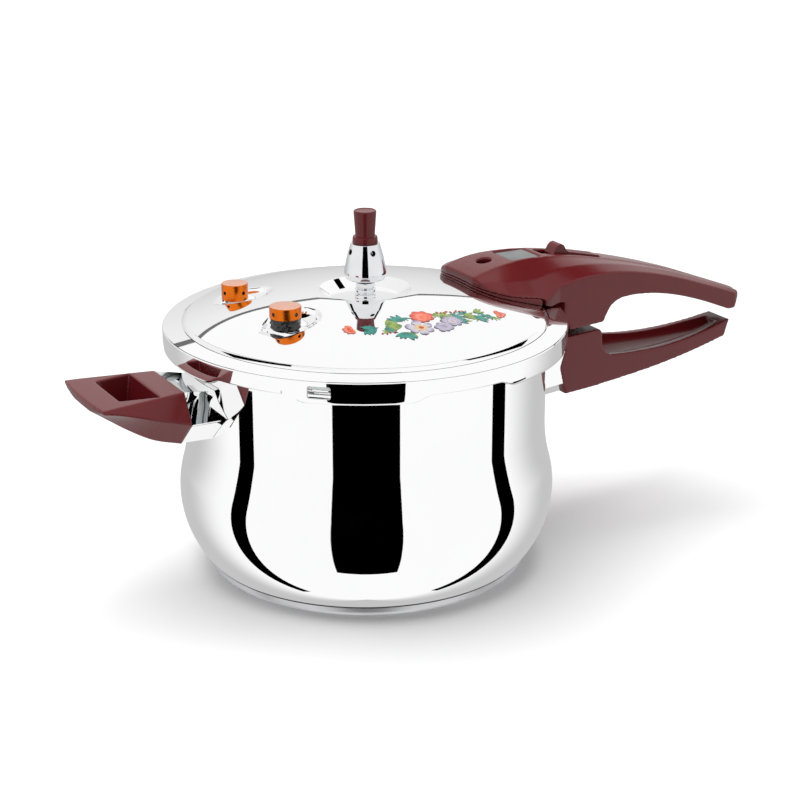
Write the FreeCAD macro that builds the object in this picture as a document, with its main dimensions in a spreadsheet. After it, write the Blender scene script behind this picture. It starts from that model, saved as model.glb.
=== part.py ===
import FreeCAD, Part
import math
import os
import Sketcher

# Stovetop pressure cooker with a bayonet lid.  Millimetres, +Z up.  The origin is where the axis of the
# pot meets the surface that it stands on, and +X runs out along the long handle.

doc = FreeCAD.newDocument("pressure_cooker")

SIZES = {
    # pot
    "neck_radius": 111.8,
    "belly_radius": 117.6,
    "belly_height": 49.7,
    "belly_arc": 64.4,
    "waist_arc": 100.0,
    "corner_arc": 31.2,
    "corner_turn": 39.9,
    "pot_wall": 1.5,
    "pot_floor": 7.5,
    "flange_top": 149.5,
    "flange_thickness": 2.0,
    "pot_lug_radius": 120.3,
    "pot_lug_bottom": 144.3,
    "pot_lug_turn": 30.0,
    # base
    "base_radius": 100.3,
    "base_edge": 4.8,
    "base_skin": 1.0,
    # lid
    "lid_radius": 124.7,
    "lid_wall": 1.8,
    "dome_top": 175.8,
    "dome_radius": 368.0,
    "step_radius": 114.5,
    "land_inner": 157.6,
    "land_outer": 156.3,
    "lug_inner": 115.8,
    "tab_bottom": 141.3,
    "gap_bottom": 146.0,
    "tab_turn": 35.0,
    "centre_dish_outer": 28.5,
    "centre_dish_inner": 21.4,
    "centre_dish_floor": 169.5,
    "slot_start": -133.4,
    "slot_turn": 6.3,
    "slot_bottom": 144.4,
    "slot_height": 8.0,
    # safety valve at the front and relief valve at the rear
    "safety_x": -67.0,
    "safety_y": -26.0,
    "safety_floor": 165.0,
    "dish_ball": 45.0,
    "safety_seat_radius": 8.0,
    "safety_cap_radius": 9.5,
    "relief_x": -66.5,
    "relief_y": 47.0,
    "relief_floor": 163.5,
    "relief_seat_radius": 7.0,
    "relief_cap_radius": 8.2,
    # float indicator and lock
    "float_x": 85.0,
    "slider_front": 134.0,
    "slider_back": 170.0,
    "slider_half_width": 5.4,
    # upper handle
    "tip_x": 284.0,
    "shoulder_x": 103.0,
    "shoulder_half_width": 42.0,
    "tip_half_width": 11.5,
    "crest_x": 108.0,
    "crest_height": 182.3,
    "seam_offset": 4.0,
    "bracket_skin": 2.0,
    "bracket_room": 0.2,
    # lower handle
    "root_x": 122.0,
    "lower_tip_x": 277.0,
    "lower_bottom": 94.2,
    "lower_top": 132.4,
    "tongue_height": 114.0,
    # regulator
    "regulator_skirt": 180.8,
    "regulator_top": 223.5,
    "fit_gap": 0.3,
}

sizes = doc.addObject("Spreadsheet::Sheet", "sizes")
for row, (alias, number) in enumerate(SIZES.items(), start=1):
    sizes.set("A%d" % row, alias)
    sizes.set("B%d" % row, str(number))
    sizes.setAlias("B%d" % row, alias)
doc.recompute()

NODES = []


def value(words):
    """The number that a sum of sizes and numbers, such as "lid_radius - lid_wall", stands for."""
    if not isinstance(words, str):
        return float(words)
    total, sign = 0.0, 1.0
    for word in words.split():
        if word in "+-":
            sign = 1.0 if word == "+" else -1.0
        else:
            total += sign * (SIZES[word] if word in SIZES else float(word))
    return total


def bound(words):
    """The same sum as an expression on the sheet."""
    return " ".join("sizes." + word if word in SIZES else word for word in words.split())


def bind(thing, property_name, words):
    """Sets a property to a number, or ties it to a sum of sizes."""
    if isinstance(words, str):
        thing.setExpression(property_name, bound(words))
    else:
        setattr(thing, property_name, words)


def node(thing, name):
    """Makes an object one of the sub-parts under its own name."""
    thing.Label = name
    NODES.append(thing)
    return thing


def place(thing, x=0, y=0, z=0):
    """Moves an object, tied to the sheet."""
    for axis, words in (("x", x), ("y", y), ("z", z)):
        if isinstance(words, str):
            thing.setExpression("Placement.Base." + axis, bound(words))
    thing.Placement.Base = FreeCAD.Vector(value(x), value(y), value(z))
    return thing


def body(name):
    return doc.addObject("PartDesign::Body", name)


def outline(owner, role, corners):
    """A closed sketch on one of the body's own planes.  A corner is (x, y), or (x, y, via_x, via_y) when an
    arc through the via point leads to it.  Corners given in words are tied to the sheet."""
    sketch = owner.newObject("Sketcher::SketchObject", owner.Name + "_outline")
    plane = [feature for feature in owner.Origin.OriginFeatures if feature.Role == role][0]
    sketch.AttachmentSupport = (plane, "")
    sketch.MapMode = "FlatFace"
    points = [FreeCAD.Vector(value(corner[0]), value(corner[1]), 0) for corner in corners]
    for index, corner in enumerate(corners):
        start, end = points[index - 1], points[index]
        if len(corner) == 4:
            through = FreeCAD.Vector(value(corner[2]), value(corner[3]), 0)
            arc = Part.Arc(start, through, end)
            sketch.addGeometry(arc, False)
        else:
            sketch.addGeometry(Part.LineSegment(start, end), False)
    straight = [len(corner) == 2 for corner in corners]
    count = len(corners)
    for index in range(count):
        following = (index + 1) % count
        if straight[index] and straight[following]:
            sketch.addConstraint(Sketcher.Constraint("Coincident", index, 2, following, 1))
            for axis, words in (("DistanceX", corners[index][0]), ("DistanceY", corners[index][1])):
                if isinstance(words, str) and abs(value(words)) > 1e-6:
                    rule = sketch.addConstraint(Sketcher.Constraint(axis, -1, 1, index, 2, value(words)))
                    sketch.setExpression("Constraints[%d]" % rule, bound(words))
    return sketch


def revolved(name, corners):
    """A body turned about the Z axis from a section in the XZ plane."""
    owner = body(name)
    sketch = outline(owner, "XZ_Plane", corners)
    turn = owner.newObject("PartDesign::Revolution", name + "_turn")
    turn.Profile = sketch
    turn.ReferenceAxis = (sketch, ["V_Axis"])
    turn.Angle = 360
    return owner


def padded(name, role, corners, length, symmetric=True):
    """A body pushed out from an outline on one of its own planes."""
    owner = body(name)
    sketch = outline(owner, role, corners)
    pad = owner.newObject("PartDesign::Pad", name + "_pad")
    pad.Profile = sketch
    bind(pad, "Length", length)
    pad.Midplane = symmetric
    return owner


def cylinder(name, radius, height, x=0, y=0, z=0):
    thing = doc.addObject("Part::Cylinder", name)
    bind(thing, "Radius", radius)
    bind(thing, "Height", height)
    return place(thing, x, y, z)


def box(name, x, y, z):
    """A block between two limits on each axis."""
    thing = doc.addObject("Part::Box", name)
    thing.Length = x[1] - x[0]
    thing.Width = y[1] - y[0]
    thing.Height = z[1] - z[0]
    return place(thing, x[0], y[0], z[0])


def cut(name, base, *tools):
    for index, tool in enumerate(tools):
        result = doc.addObject("Part::Cut", "%s_cut%d" % (name, index))
        result.Base = base
        result.Tool = tool
        base = result
    return base


def common(name, first, second):
    result = doc.addObject("Part::Common", name + "_common")
    result.Base = first
    result.Tool = second
    return result


def fuse(name, *pieces):
    result = doc.addObject("Part::MultiFuse", name + "_fuse")
    result.Shapes = list(pieces)
    return result


def at_angle(radius, degrees):
    return radius * math.cos(math.radians(degrees)), radius * math.sin(math.radians(degrees))


def sector(name, inner, outer, middle, turn, low, high):
    """A block between two radii and two heights that covers a turn about the Z axis."""
    low_angle, high_angle = middle - turn / 2, middle + turn / 2
    corners = [
        at_angle(inner, high_angle),
        at_angle(inner, low_angle) + at_angle(inner, middle),
        at_angle(outer, low_angle),
        at_angle(outer, high_angle) + at_angle(outer, middle),
    ]
    block = padded(name, "XY_Plane", corners, high - low, symmetric=False)
    return place(block, z=low)


# ---------------------------------------------------------------- pot

waist_centre_z = value("belly_height") + math.sqrt(
    (value("waist_arc") + value("belly_arc")) ** 2
    - (value("neck_radius + waist_arc") - value("belly_radius - belly_arc")) ** 2)


def pot_side(inset):
    """The arcs of the pot's side from the base up to the neck, moved in by a wall thickness."""
    belly_centre = (value("belly_radius - belly_arc"), value("belly_height"))
    turn = math.radians(value("corner_turn"))
    reach = value("belly_arc") - value("corner_arc")
    corner_centre = (belly_centre[0] + reach * math.cos(turn), belly_centre[1] - reach * math.sin(turn))
    waist_centre = (value("neck_radius + waist_arc"), waist_centre_z)
    floor = value("pot_floor") + inset
    corner_radius = value("corner_arc") - inset
    belly_radius = value("belly_arc") - inset
    waist_radius = value("waist_arc") + inset

    def on(centre, radius, angle):
        return centre[0] + radius * math.cos(angle), centre[1] + radius * math.sin(angle)

    foot = math.asin((floor - corner_centre[1]) / corner_radius)
    shoulder = math.atan2(waist_centre[1] - belly_centre[1], waist_centre[0] - belly_centre[0])
    return [
        on(corner_centre, corner_radius, foot),
        on(corner_centre, corner_radius, -turn) + on(corner_centre, corner_radius, (foot - turn) / 2),
        on(belly_centre, belly_radius, shoulder) + on(belly_centre, belly_radius, (shoulder - turn) / 2),
        on(waist_centre, waist_radius, math.pi)
        + on(waist_centre, waist_radius, (shoulder + 2 * math.pi) / 2),
    ]


def reversed_run(points):
    """The same run of corners walked the other way."""
    back = []
    for index in range(len(points) - 1, -1, -1):
        via = points[index + 1][2:] if index + 1 < len(points) else ()
        back.append(points[index][:2] + via)
    return back


pot_section = [(0, "pot_floor")] + pot_side(0.0) + [
    ("neck_radius", "flange_top - flange_thickness"),
    ("pot_lug_radius - flange_thickness", "flange_top - flange_thickness"),
    ("pot_lug_radius - flange_thickness", "pot_lug_bottom"),
    ("pot_lug_radius", "pot_lug_bottom"),
    ("pot_lug_radius", "flange_top"),
    ("neck_radius - pot_wall", "flange_top"),
] + reversed_run(pot_side(value("pot_wall"))) + [(0, "pot_floor + pot_wall")]
pot_shell = revolved("pot_shell", pot_section)
pot_gaps = [
    sector("pot_gap_%d" % index, 115.5, 126.0, 30 + 60 * index, 60 - value("pot_lug_turn"), 140.0, 152.0)
    for index in range(6)
]
pot_body = node(cut("pot_body", pot_shell, *pot_gaps), "pot_body")

edge = value("base_edge")
edge_mid = edge * (1 - math.sqrt(0.5))
flat = value("base_radius") - edge
skin = value("base_skin")
inner_edge = edge - skin
inner_mid = skin + inner_edge * (1 - math.sqrt(0.5))
cap_section = [
    (0, 0),
    (flat, 0),
    (value("base_radius"), edge, value("base_radius") - edge_mid, edge_mid),
    ("base_radius", "pot_floor"),
    ("base_radius - base_skin", "pot_floor"),
    (value("base_radius - base_skin"), edge),
    (flat, skin, value("base_radius") - inner_mid, inner_mid),
    (0, skin),
]
base_cap = node(revolved("base_cap_body", cap_section), "base_cap")
core_section = [
    (0, skin),
    (flat, skin),
    (value("base_radius - base_skin"), edge, value("base_radius") - inner_mid, inner_mid),
    ("base_radius - base_skin", "pot_floor"),
    (0, "pot_floor"),
]
base_core = node(revolved("base_core_body", core_section), "base_core")

# ---------------------------------------------------------------- lid

dome_centre = value("dome_top - dome_radius")


def dome_height(radius, offset=0.0):
    """The height of the lid's dome at a distance from the axis."""
    return dome_centre + math.sqrt((value("dome_radius") + offset) ** 2 - radius ** 2)


wall = value("lid_wall")
rim = value("lid_radius")
step = value("step_radius")
dish_out = value("centre_dish_outer")
dish_in = value("centre_dish_inner")
dish_floor = value("centre_dish_floor")
dome_mid = (dish_out + step) / 2
lid_section = [
    (0, dish_floor),
    (dish_in, dish_floor),
    (dish_out, dome_height(dish_out)),
    (step, dome_height(step), dome_mid, dome_height(dome_mid)),
    (step + 0.8, value("land_inner")),
    (rim - 0.9, value("land_outer")),
    (rim, value("land_outer") - 1.1, rim - 0.25, value("land_outer") - 0.3),
    (rim, 147.5),
    (119.0, value("tab_bottom"), rim - 1.6, 143.1),
    ("lug_inner", "tab_bottom"),
    ("lug_inner", "tab_bottom + lid_wall"),
    (119.0, value("tab_bottom") + wall),
    (rim - wall, 147.5, rim - wall - 1.2, 144.5),
    (rim - wall, value("land_outer") - wall),
    (step - 0.6, value("land_inner") - wall),
    (step - 1.4, dome_height(step, -wall) + 0.2),
    (dish_out + 0.5, dome_height(dish_out + 0.5, -wall), dome_mid, dome_height(dome_mid, -wall)),
    (dish_in + 0.5, dish_floor - wall),
    (0, dish_floor - wall),
]
lid_turned = revolved("lid_turned", lid_section)
lid_gaps = [
    sector("lid_gap_%d" % index, 112.0, 130.0, 30 + 60 * index, 60 - value("tab_turn"),
           130.0, value("gap_bottom"))
    for index in range(6)
]
dome_fill = doc.addObject("Part::Sphere", "dome_fill")
dome_fill.setExpression("Radius", bound("dome_radius"))
place(dome_fill, z="dome_top - dome_radius")


def ball(name, radius, x, y, z):
    thing = doc.addObject("Part::Sphere", name)
    bind(thing, "Radius", radius)
    return place(thing, x, y, z)


def dish(name, flat_radius, x, y, floor):
    """A pressed dish in the dome, part of a ball with a small flat floor: the cup that is added and the
    hollows that are cut from it."""
    cup = ball(name + "_cup", "dish_ball + lid_wall", x, y, floor + " + dish_ball")
    hollow = ball(name + "_hollow", "dish_ball", x, y, floor + " + dish_ball")
    seat = cylinder(name + "_seat", flat_radius, 6.0, x, y, floor)
    return common(name, cup, dome_fill), hollow, seat


safety_cup, *safety_hollows = dish("safety_dish", "safety_seat_radius", "safety_x", "safety_y", "safety_floor")
relief_cup, *relief_hollows = dish("relief_dish", "relief_seat_radius", "relief_x", "relief_y", "relief_floor")
lid_solid = fuse("lid_solid", lid_turned, safety_cup, relief_cup)
slot_middle = value("slot_start") + value("slot_turn") / 2
slot = sector("relief_slot", 121.0, 128.0, slot_middle, value("slot_turn"),
              value("slot_bottom"), value("slot_bottom + slot_height"))
window = sector("tab_window", 121.0, 128.0, -139.3, 3.7, 143.2, 149.0)
bores = [
    cylinder("vent_bore", 5.0, 20.0, 0, 0, 160.0),
    cylinder("safety_bore", 5.0, 20.0, "safety_x", "safety_y", "safety_floor - 10"),
    cylinder("relief_bore", 4.0, 20.0, "relief_x", "relief_y", "relief_floor - 10"),
    cylinder("float_bore", 4.5, 20.0, "float_x", 0, 155.0),
]
lid_shell = node(cut("lid_shell", lid_solid, *(safety_hollows + relief_hollows + [slot, window] + bores + lid_gaps)),
                 "lid_shell")

# The silicone ring fills the corner under the rim: a flat foot on the pot's flange and two lips.
sealing_gasket = node(revolved("gasket_body", [
    (111.0, "flange_top + fit_gap"),
    (122.4, "flange_top + fit_gap"),
    (122.4, 153.6),
    (119.4, 154.0),
    (119.4, 151.4),
    (114.6, 151.4),
    (114.6, 154.6),
    (111.0, 155.0),
]), "sealing_gasket")

# ---------------------------------------------------------------- helpers for the fittings


def prism(name, across, height, x, y, z):
    """A six-sided nut blank."""
    thing = doc.addObject("Part::Prism", name)
    thing.Polygon = 6
    thing.Circumradius = across / 2 / math.cos(math.radians(30))
    thing.Height = height
    return place(thing, x, y, z)


def nut(name, across, height, bore, x, y, z):
    hole = cylinder(name + "_thread", bore, height + 2, x, y, z + " - 1" if isinstance(z, str) else z - 1)
    return node(cut(name, prism(name + "_blank", across, height, x, y, z), hole), name)


def spring(name, radius, wire, pitch, height):
    """A coil spring about its own Z axis, standing on its own XY plane."""
    coil = Part.makeHelix(pitch, height, radius)
    start = coil.Edges[0].firstVertex().Point
    ring = Part.Wire(Part.makeCircle(wire, start, FreeCAD.Vector(0, 1, 0)))
    path = Part.BRepOffsetAPI.MakePipeShell(Part.Wire(coil.Edges))
    path.setFrenetMode(True)
    path.add(ring)
    path.build()
    path.makeSolid()
    thing = doc.addObject("Part::Feature", name + "_coil")
    thing.Shape = path.shape()
    return node(thing, name)


def side_holes(name, count, first_angle, radius, x, y, z):
    """Cross holes through a cap or a weight, as tools to cut."""
    tools = []
    for index in range(count):
        tool = cylinder("%s_%d" % (name, index), radius, 20.0, x, y, z)
        angle = first_angle + 360.0 * index / count
        tool.Placement.Rotation = FreeCAD.Rotation(0, 0, angle).multiply(
            FreeCAD.Rotation(FreeCAD.Vector(0, 1, 0), 90))
        tools.append(tool)
    return tools


def lofted(name, stations):
    """A body through outlines that stand across the X axis, each given as (x, [(y, z), ...])."""
    owner = body(name)
    sketches = []
    for x, corners in stations:
        sketch = outline(owner, "YZ_Plane", corners)
        sketch.AttachmentOffset = FreeCAD.Placement(FreeCAD.Vector(0, 0, x), FreeCAD.Rotation())
        sketches.append(sketch)
    loft = owner.newObject("PartDesign::AdditiveLoft", name + "_loft")
    loft.Profile = sketches[0]
    loft.Sections = sketches[1:]
    loft.Ruled = True
    return owner


def mirrored(half):
    """A closed outline from its half with positive first coordinates, listed from the top down."""
    return half + [(-corner[0], corner[1]) for corner in reversed(half)]


# ---------------------------------------------------------------- vent pipe and regulator

dish_under = dish_floor - wall
vent_pipe = node(revolved("vent_pipe_body", [
    (1.5, 155.0),
    (5.0, 155.0),
    (5.0, dish_floor),
    (6.6, dish_floor),
    (6.6, 171.4),
    (5.4, 172.0),
    (6.3, 172.8),
    (6.3, 174.6),
    (5.2, 175.2),
    (6.0, 176.0),
    (6.0, 178.6),
    (4.2, 180.0),
    (4.2, 187.4),
    (3.2, 188.4),
    (1.5, 188.4),
]), "vent_pipe")
vent_washer = node(revolved("vent_washer_body", [
    (5.0, dish_under - 1.5),
    (9.5, dish_under - 1.5),
    (9.5, dish_under),
    (5.0, dish_under),
]), "vent_washer")
vent_nut = nut("vent_nut", 15.0, 4.5, 5.0, 0, 0, dish_under - 6.0)
cap_shell = revolved("block_cap_shell", [
    (5.0, 160.2),
    (12.0, 160.2),
    (12.0, 153.0),
    (0, 153.0),
    (0, 154.0),
    (11.0, 154.0),
    (11.0, 159.2),
    (5.0, 159.2),
])
anti_block_cap = node(cut("block_cap", cap_shell, *side_holes("block_cap_hole", 8, 0, 1.5, 0, 0, 156.6)),
                      "anti_block_cap")

skirt = value("regulator_skirt")
weight_turned = revolved("weight_turned", [
    (2.0, 201.6),
    (2.0, 203.3),
    (8.8, 203.3),
    (11.2, 194.6),
    (13.0, 185.6, 12.35, 190.0),
    (12.0, skirt, 13.3, 182.9),
    (7.4, skirt),
    (7.0, 197.6),
])
regulator_weight = node(cut("weight", weight_turned, *side_holes("weight_hole", 4, 0, 1.85, 0, 0, 198.6)),
                        "regulator_weight")
knob_top = value("regulator_top")
regulator_knob = node(revolved("knob_body", [
    (0, 212.0),
    (0, knob_top - 0.3),
    (6.4, knob_top),
    (7.0, knob_top - 1.0),
    (5.95, 207.9),
    (7.75, 207.5),
    (7.75, 203.3),
    (2.0, 203.3),
    (2.0, 212.0),
]), "regulator_knob")
regulator_needle = node(revolved("needle_body", [
    (0, 188.7),
    (0.6, 188.7),
    (2.0, 192.0),
    (2.0, 212.0),
    (0, 212.0),
]), "regulator_needle")

# ---------------------------------------------------------------- safety valve and relief valve


def valve(name, x, y, floor, cap_radius, cup_radius, bore, cup_top, cap_bottom, cap_top, hole_height):
    """A sprung valve: a body through the lid with its nut, an anodised cap, a needle and a spring.
    The heights are measured from the floor of the dish."""
    stem = cup_radius - 1.5
    turned = revolved(name + "_body_turned", [
        (2.0, -11.0),
        (bore, -11.0),
        (bore, 0),
        (cup_radius + 0.8, 0),
        (cup_radius + 0.8, 1.6),
        (cup_radius, 1.8),
        (cup_radius, cup_top),
        (stem - 0.6, cup_top),
        (stem - 0.6, 3.0),
        (2.0, 3.0),
    ])
    node(place(turned, x, y, floor), name + "_body")
    nut(name + "_nut", 2 * bore + 5.0, 4.0, bore, x, y, "%s - %s" % (floor, wall + 4.0))
    cap_turned = place(revolved(name + "_cap_turned", [
        (cup_radius, cap_bottom),
        (cap_radius, cap_bottom),
        (cap_radius, cap_top - 0.4),
        (cap_radius - 0.4, cap_top),
        (0, cap_top),
        (0, cap_top - 1.2),
        (cap_radius - 1.3, cap_top - 1.2),
        (cap_radius - 1.3, cup_top),
        (cup_radius, cup_top),
    ]), x, y, floor)
    holes = side_holes(name + "_cap_hole", 4, 17.0, 1.2, x, y, "%s + %s" % (floor, hole_height))
    node(cut(name + "_cap_drilled", cap_turned, *holes), name + "_cap")
    needle = revolved(name + "_needle_turned", [
        (0, -5.0),
        (1.7, -5.0),
        (1.7, 3.3),
        (stem - 1.2, 3.3),
        (stem - 1.2, 4.6),
        (1.2, 4.6),
        (1.2, 7.0),
        (0, 7.0),
    ])
    node(place(needle, x, y, floor), name + "_needle")
    coil = spring(name + "_spring", stem - 1.9, 0.35, 1.3, cap_top - 1.2 - 4.6 - 0.9)
    place(coil, x, y, "%s + 5.05" % floor)


valve("safety_valve", "safety_x", "safety_y", "safety_floor", value("safety_cap_radius"), 6.4, 5.0,
      9.0, 7.7, 14.7, 11.0)
boot = revolved("boot_body", [
    (7.2, 0.4),
    (7.7, 0.4),
    (9.2, 2.2),
    (8.7, 3.0),
    (9.2, 4.4),
    (8.8, 5.6),
    (9.3, 6.8),
    (9.1, 7.7),
    (6.4, 7.7),
    (6.4, 1.8),
    (7.2, 1.6),
])
safety_valve_boot = node(place(boot, "safety_x", "safety_y", "safety_floor"), "safety_valve_boot")
valve("relief_valve", "relief_x", "relief_y", "relief_floor", value("relief_cap_radius"), 5.4, 4.0,
      4.6, 1.8, 12.0, 6.8)

# ---------------------------------------------------------------- upper handle on the lid

bracket_skin = ball("bracket_skin_ball", "dome_radius + bracket_skin", 0, 0, "dome_top - dome_radius")
seam_ball = ball("seam_ball", "dome_radius + seam_offset", 0, 0, "dome_top - dome_radius")
bracket_plate = common("bracket_plate", bracket_skin, box("bracket_area", (76, 113), (-14, 14), (150, 175)))
bracket_tongue = box("bracket_tongue", (104, 138), (-9, 9), (159.5, 163.5))
bracket_holes = [
    cylinder("bracket_float_hole", 7.4, 40.0, "float_x", 0, 150.0),
    cylinder("bracket_screw_hole", 2.0, 10.0, 131.0, 0, 155.0),
]
lid_bracket = node(cut("lid_bracket", fuse("bracket", bracket_plate, bracket_tongue), dome_fill,
                       *bracket_holes), "lid_bracket")

PLAN = [(66.5, 18), (70, 28), (75, 36.5), (90, 41), (value("shoulder_x"), value("shoulder_half_width")),
        (112, 39), (120, 35), (value("tip_x"), value("tip_half_width"))]
plan_outline = PLAN + [(x, -y) for x, y in reversed(PLAN)]


def plan_block(name, low, high):
    block = padded(name, "XY_Plane", plan_outline, high - low, symmetric=False)
    return place(block, z=low)




def bracket_room(name):
    """The space that the steel bracket takes under a moulding."""
    room_ball = ball(name + "_room_ball", "dome_radius + bracket_skin + bracket_room", 0, 0,
                     "dome_top - dome_radius")
    return common(name + "_room", room_ball, box(name + "_room_area", (75.7, 114), (-14.3, 14.3), (150, 180)))


seam_block = common("seam", seam_ball, box("seam_area", (60, 106), (-50, 50), (150, 185)))
base_block = common("base_plan", plan_block("base_plan_block", 150.0, 180.0), seam_block)
base_area = common("base_round", base_block, cylinder("base_rim", 113.8, 60.0, 0, 0, 140.0))
float_well = cylinder("float_well", 7.6, 40.0, "float_x", 0, 150.0)
upper_handle_base = node(cut("handle_base", base_area, dome_fill,
                             box("base_pocket", (75.7, 114), (-14.3, 14.3), (150, 163.9)),
                             bracket_room("base"),
                             float_well), "upper_handle_base")

crest_x, crest_z = value("crest_x"), value("crest_height")
cover_side = padded("cover_side", "XZ_Plane", [
    (66.5, 160.0),
    (66.5, 172.4),
    (69.5, 177.4),
    (crest_x, crest_z, 86.0, 181.1),
    (280.0, 137.6, 175.0, 172.4),
    (value("tip_x"), 131.5),
    (279.0, 124.6),
    (274.9, 124.5),
    (180.0, 150.8, 226.8, 142.7),
    (160.3, 140.1, 167.5, 148.0),
    (157.8, 137.0),
    (129.8, 137.0),
    (118.0, 150.0),
    (108.0, 150.0),
    (106.0, 160.0),
], 100.0)
# x, half width of the top face, its height, half width at the crease, height of the crease
SHOULDERS = [
    (60.0, 19.5, 178.0, 30.0, 171.0),
    (90.0, 17.0, 182.3, 41.0, 165.0),
    (106.0, 14.0, 182.6, 42.0, 160.0),
    (125.0, 12.0, 181.9, 36.0, 167.0),
    (145.0, 10.0, 178.9, 32.0, 169.8),
    (175.0, 7.5, 172.9, 28.0, 168.0),
    (225.0, 5.5, 158.6, 20.5, 155.2),
    (290.0, 4.0, 134.0, 11.0, 131.0),
]
cover_envelope = lofted("cover_envelope", [
    (x, mirrored([(top_half, top), (crease_half, crease), (crease_half, 90.0)]))
    for x, top_half, top, crease_half, crease in SHOULDERS
])
cover_plan = common("cover_plan", cover_side, plan_block("cover_plan_block", 100.0, 200.0))
cover_block = common("cover_block", cover_plan, cover_envelope)
cover_tools = [
    seam_block,
    common("cover_dome", ball("cover_dome_ball", "dome_radius", 0, 0, "dome_top - dome_radius"),
           box("cover_dome_area", (60, 114), (-60, 60), (140, 180))),
    cylinder("cover_rim", "lid_radius + 0.5", 58.4, 0, 0, 100.0),
    bracket_room("cover"),
    box("tongue_tunnel", (105.5, 138.3), (-9.3, 9.3), (158.0, 163.9)),
    box("bolt_tunnel", (126.0, 156.7), (-3.4, 3.4), (167.0, 172.0)),
    box("bolt_channel", (143.8, 156.7), (-3.4, 3.4), (130.0, 172.0)),
    box("slider_slot", (125.4, 171.0), (-5.7, 5.7), (171.9, 195.0)),
    box("window_recess", (99.0, 120.0), (-10.5, 10.5), (180.9, 190.0)),
    cylinder("float_sight", 4.9, 40.0, "float_x", 0, 150.0),
    cylinder("float_room", 7.6, 9.0, "float_x", 0, 162.0),
    cylinder("screw_room", 2.2, 40.0, 131.0, 0, 130.0),
    cylinder("screw_counterbore", 4.6, 9.0, 131.0, 0, 136.0),
]
upper_handle_cover = node(cut("handle_cover", cover_block, *cover_tools), "upper_handle_cover")
window_plate = node(box("window_plate_blank", (99.3, 119.7), (-10.2, 10.2), (180.9, 181.5)), "window_plate")
handle_screw = node(fuse("handle_screw", cylinder("handle_screw_head", 4.2, 2.8, 131.0, 0, 142.2),
                         cylinder("handle_screw_shank", 2.0, 18.5, 131.0, 0, 145.0)), "handle_screw")

# float indicator
float_seat = node(place(revolved("float_seat_body", [
    (2.4, 159.8),
    (6.5, 159.8),
    (6.5, 161.9),
    (4.5, 161.9),
    (4.5, 170.5),
    (2.4, 170.5),
]), "float_x"), "float_seat")
float_pin = node(place(revolved("float_pin_body", [
    (0, 150.6),
    (4.2, 150.6),
    (4.2, 152.0),
    (2.3, 152.0),
    (2.3, 171.0),
    (3.6, 171.0),
    (3.6, 174.0),
    (0, 174.0),
]), "float_x"), "float_pin")
float_ring = node(place(revolved("float_ring_body", [
    (2.3, 152.0),
    (4.2, 152.0),
    (4.2, 153.4),
    (2.3, 153.4),
]), "float_x"), "float_ring")

# lock slider, its bolt and its return spring
slider_front = value("slider_front")
slider_back = value("slider_back")
lock_slider = node(padded("slider_body", "XZ_Plane", [
    (slider_front, 172.2),
    (slider_front, 180.2),
    (136.0, 183.6),
    (138.5, 185.6),
    (141.5, 185.4),
    (144.5, 181.0),
    (slider_back, 174.6),
    (slider_back, 172.2),
], "slider_half_width + slider_half_width"), "lock_slider")
lock_bolt = node(fuse("lock_bolt", box("bolt_strip", (141.0, 156.0), (-3.0, 3.0), (168.9, 172.2)),
                      box("bolt_leg", (152.6, 156.0), (-3.0, 3.0), (135.3, 169.5))), "lock_bolt")
lock_spring = spring("lock_spring", 1.9, 0.3, 1.9, 14.2)
lock_spring.Placement = FreeCAD.Placement(FreeCAD.Vector(126.4, 0, 169.4),
                                          FreeCAD.Rotation(FreeCAD.Vector(0, 1, 0), 90))

# ---------------------------------------------------------------- lower handle on the pot

root_x = value("root_x")
low = value("lower_bottom")
lower_side = padded("lower_side", "XZ_Plane", [
    (root_x, 113.0),
    (124.6, "lower_top"),
    (156.3, "lower_top"),
    (158.1, 130.4),
    (159.0, 121.4),
    (166.9, 113.3, 161.4, 116.3),
    (value("lower_tip_x"), 117.2, 222.0, 109.7),
    (272.5, 105.6),
    (root_x + 5.5, low, 200.0, 95.9),
], 90.0)
LOWER_PLAN = [(115.0, 35.5), (value("lower_tip_x") + 5.0, 11.0)]
lower_outline = LOWER_PLAN + [(x, -y) for x, y in reversed(LOWER_PLAN)]
lower_plan = place(padded("lower_plan", "XY_Plane", lower_outline, 60.0, symmetric=False), z=85.0)
trough_side = padded("trough_side", "XZ_Plane", [
    (170.0, 101.0),
    (268.0, 110.5),
    (271.0, 125.0),
    (168.0, 125.0),
], 90.0)
TROUGH_PLAN = [(160.0, 24.0), (270.0, 8.3)]
trough_outline = TROUGH_PLAN + [(x, -y) for x, y in reversed(TROUGH_PLAN)]
trough_plan = place(padded("trough_plan", "XY_Plane", trough_outline, 60.0, symmetric=False), z=85.0)
lower_block = common("lower_block", lower_side, lower_plan)
tongue_low = value("tongue_height") - 6.0
lower_tools = [
    common("trough", trough_side, trough_plan),
    box("tongue_pocket", (120.0, 150.3), (-9.3, 9.3), (tongue_low - 0.3, tongue_low + 12.3)),
    cylinder("lower_screw_room", 2.2, 30.0, 140.0, 0, 90.0),
    cylinder("lower_screw_counterbore", 4.6, 8.0, 140.0, 0, 90.0),
]
lower_handle = node(cut("lower_handle", lower_block, *lower_tools), "lower_handle")
neck = cylinder("neck_clearance", "neck_radius", 80.0, 0, 0, 80.0)
lower_tongue = box("lower_tongue", (100.0, 150.0), (-9.0, 9.0), (tongue_low, tongue_low + 12.0))
lower_handle_bracket = node(cut("lower_bracket", lower_tongue, neck,
                                cylinder("lower_bracket_hole", 2.0, 30.0, 140.0, 0, 100.0)),
                            "lower_handle_bracket")
lower_handle_screw = node(fuse("lower_screw", cylinder("lower_screw_head", 4.2, 2.6, 140.0, 0, 95.4),
                               cylinder("lower_screw_shank", 2.0, 20.0, 140.0, 0, 98.0)), "lower_handle_screw")


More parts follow.
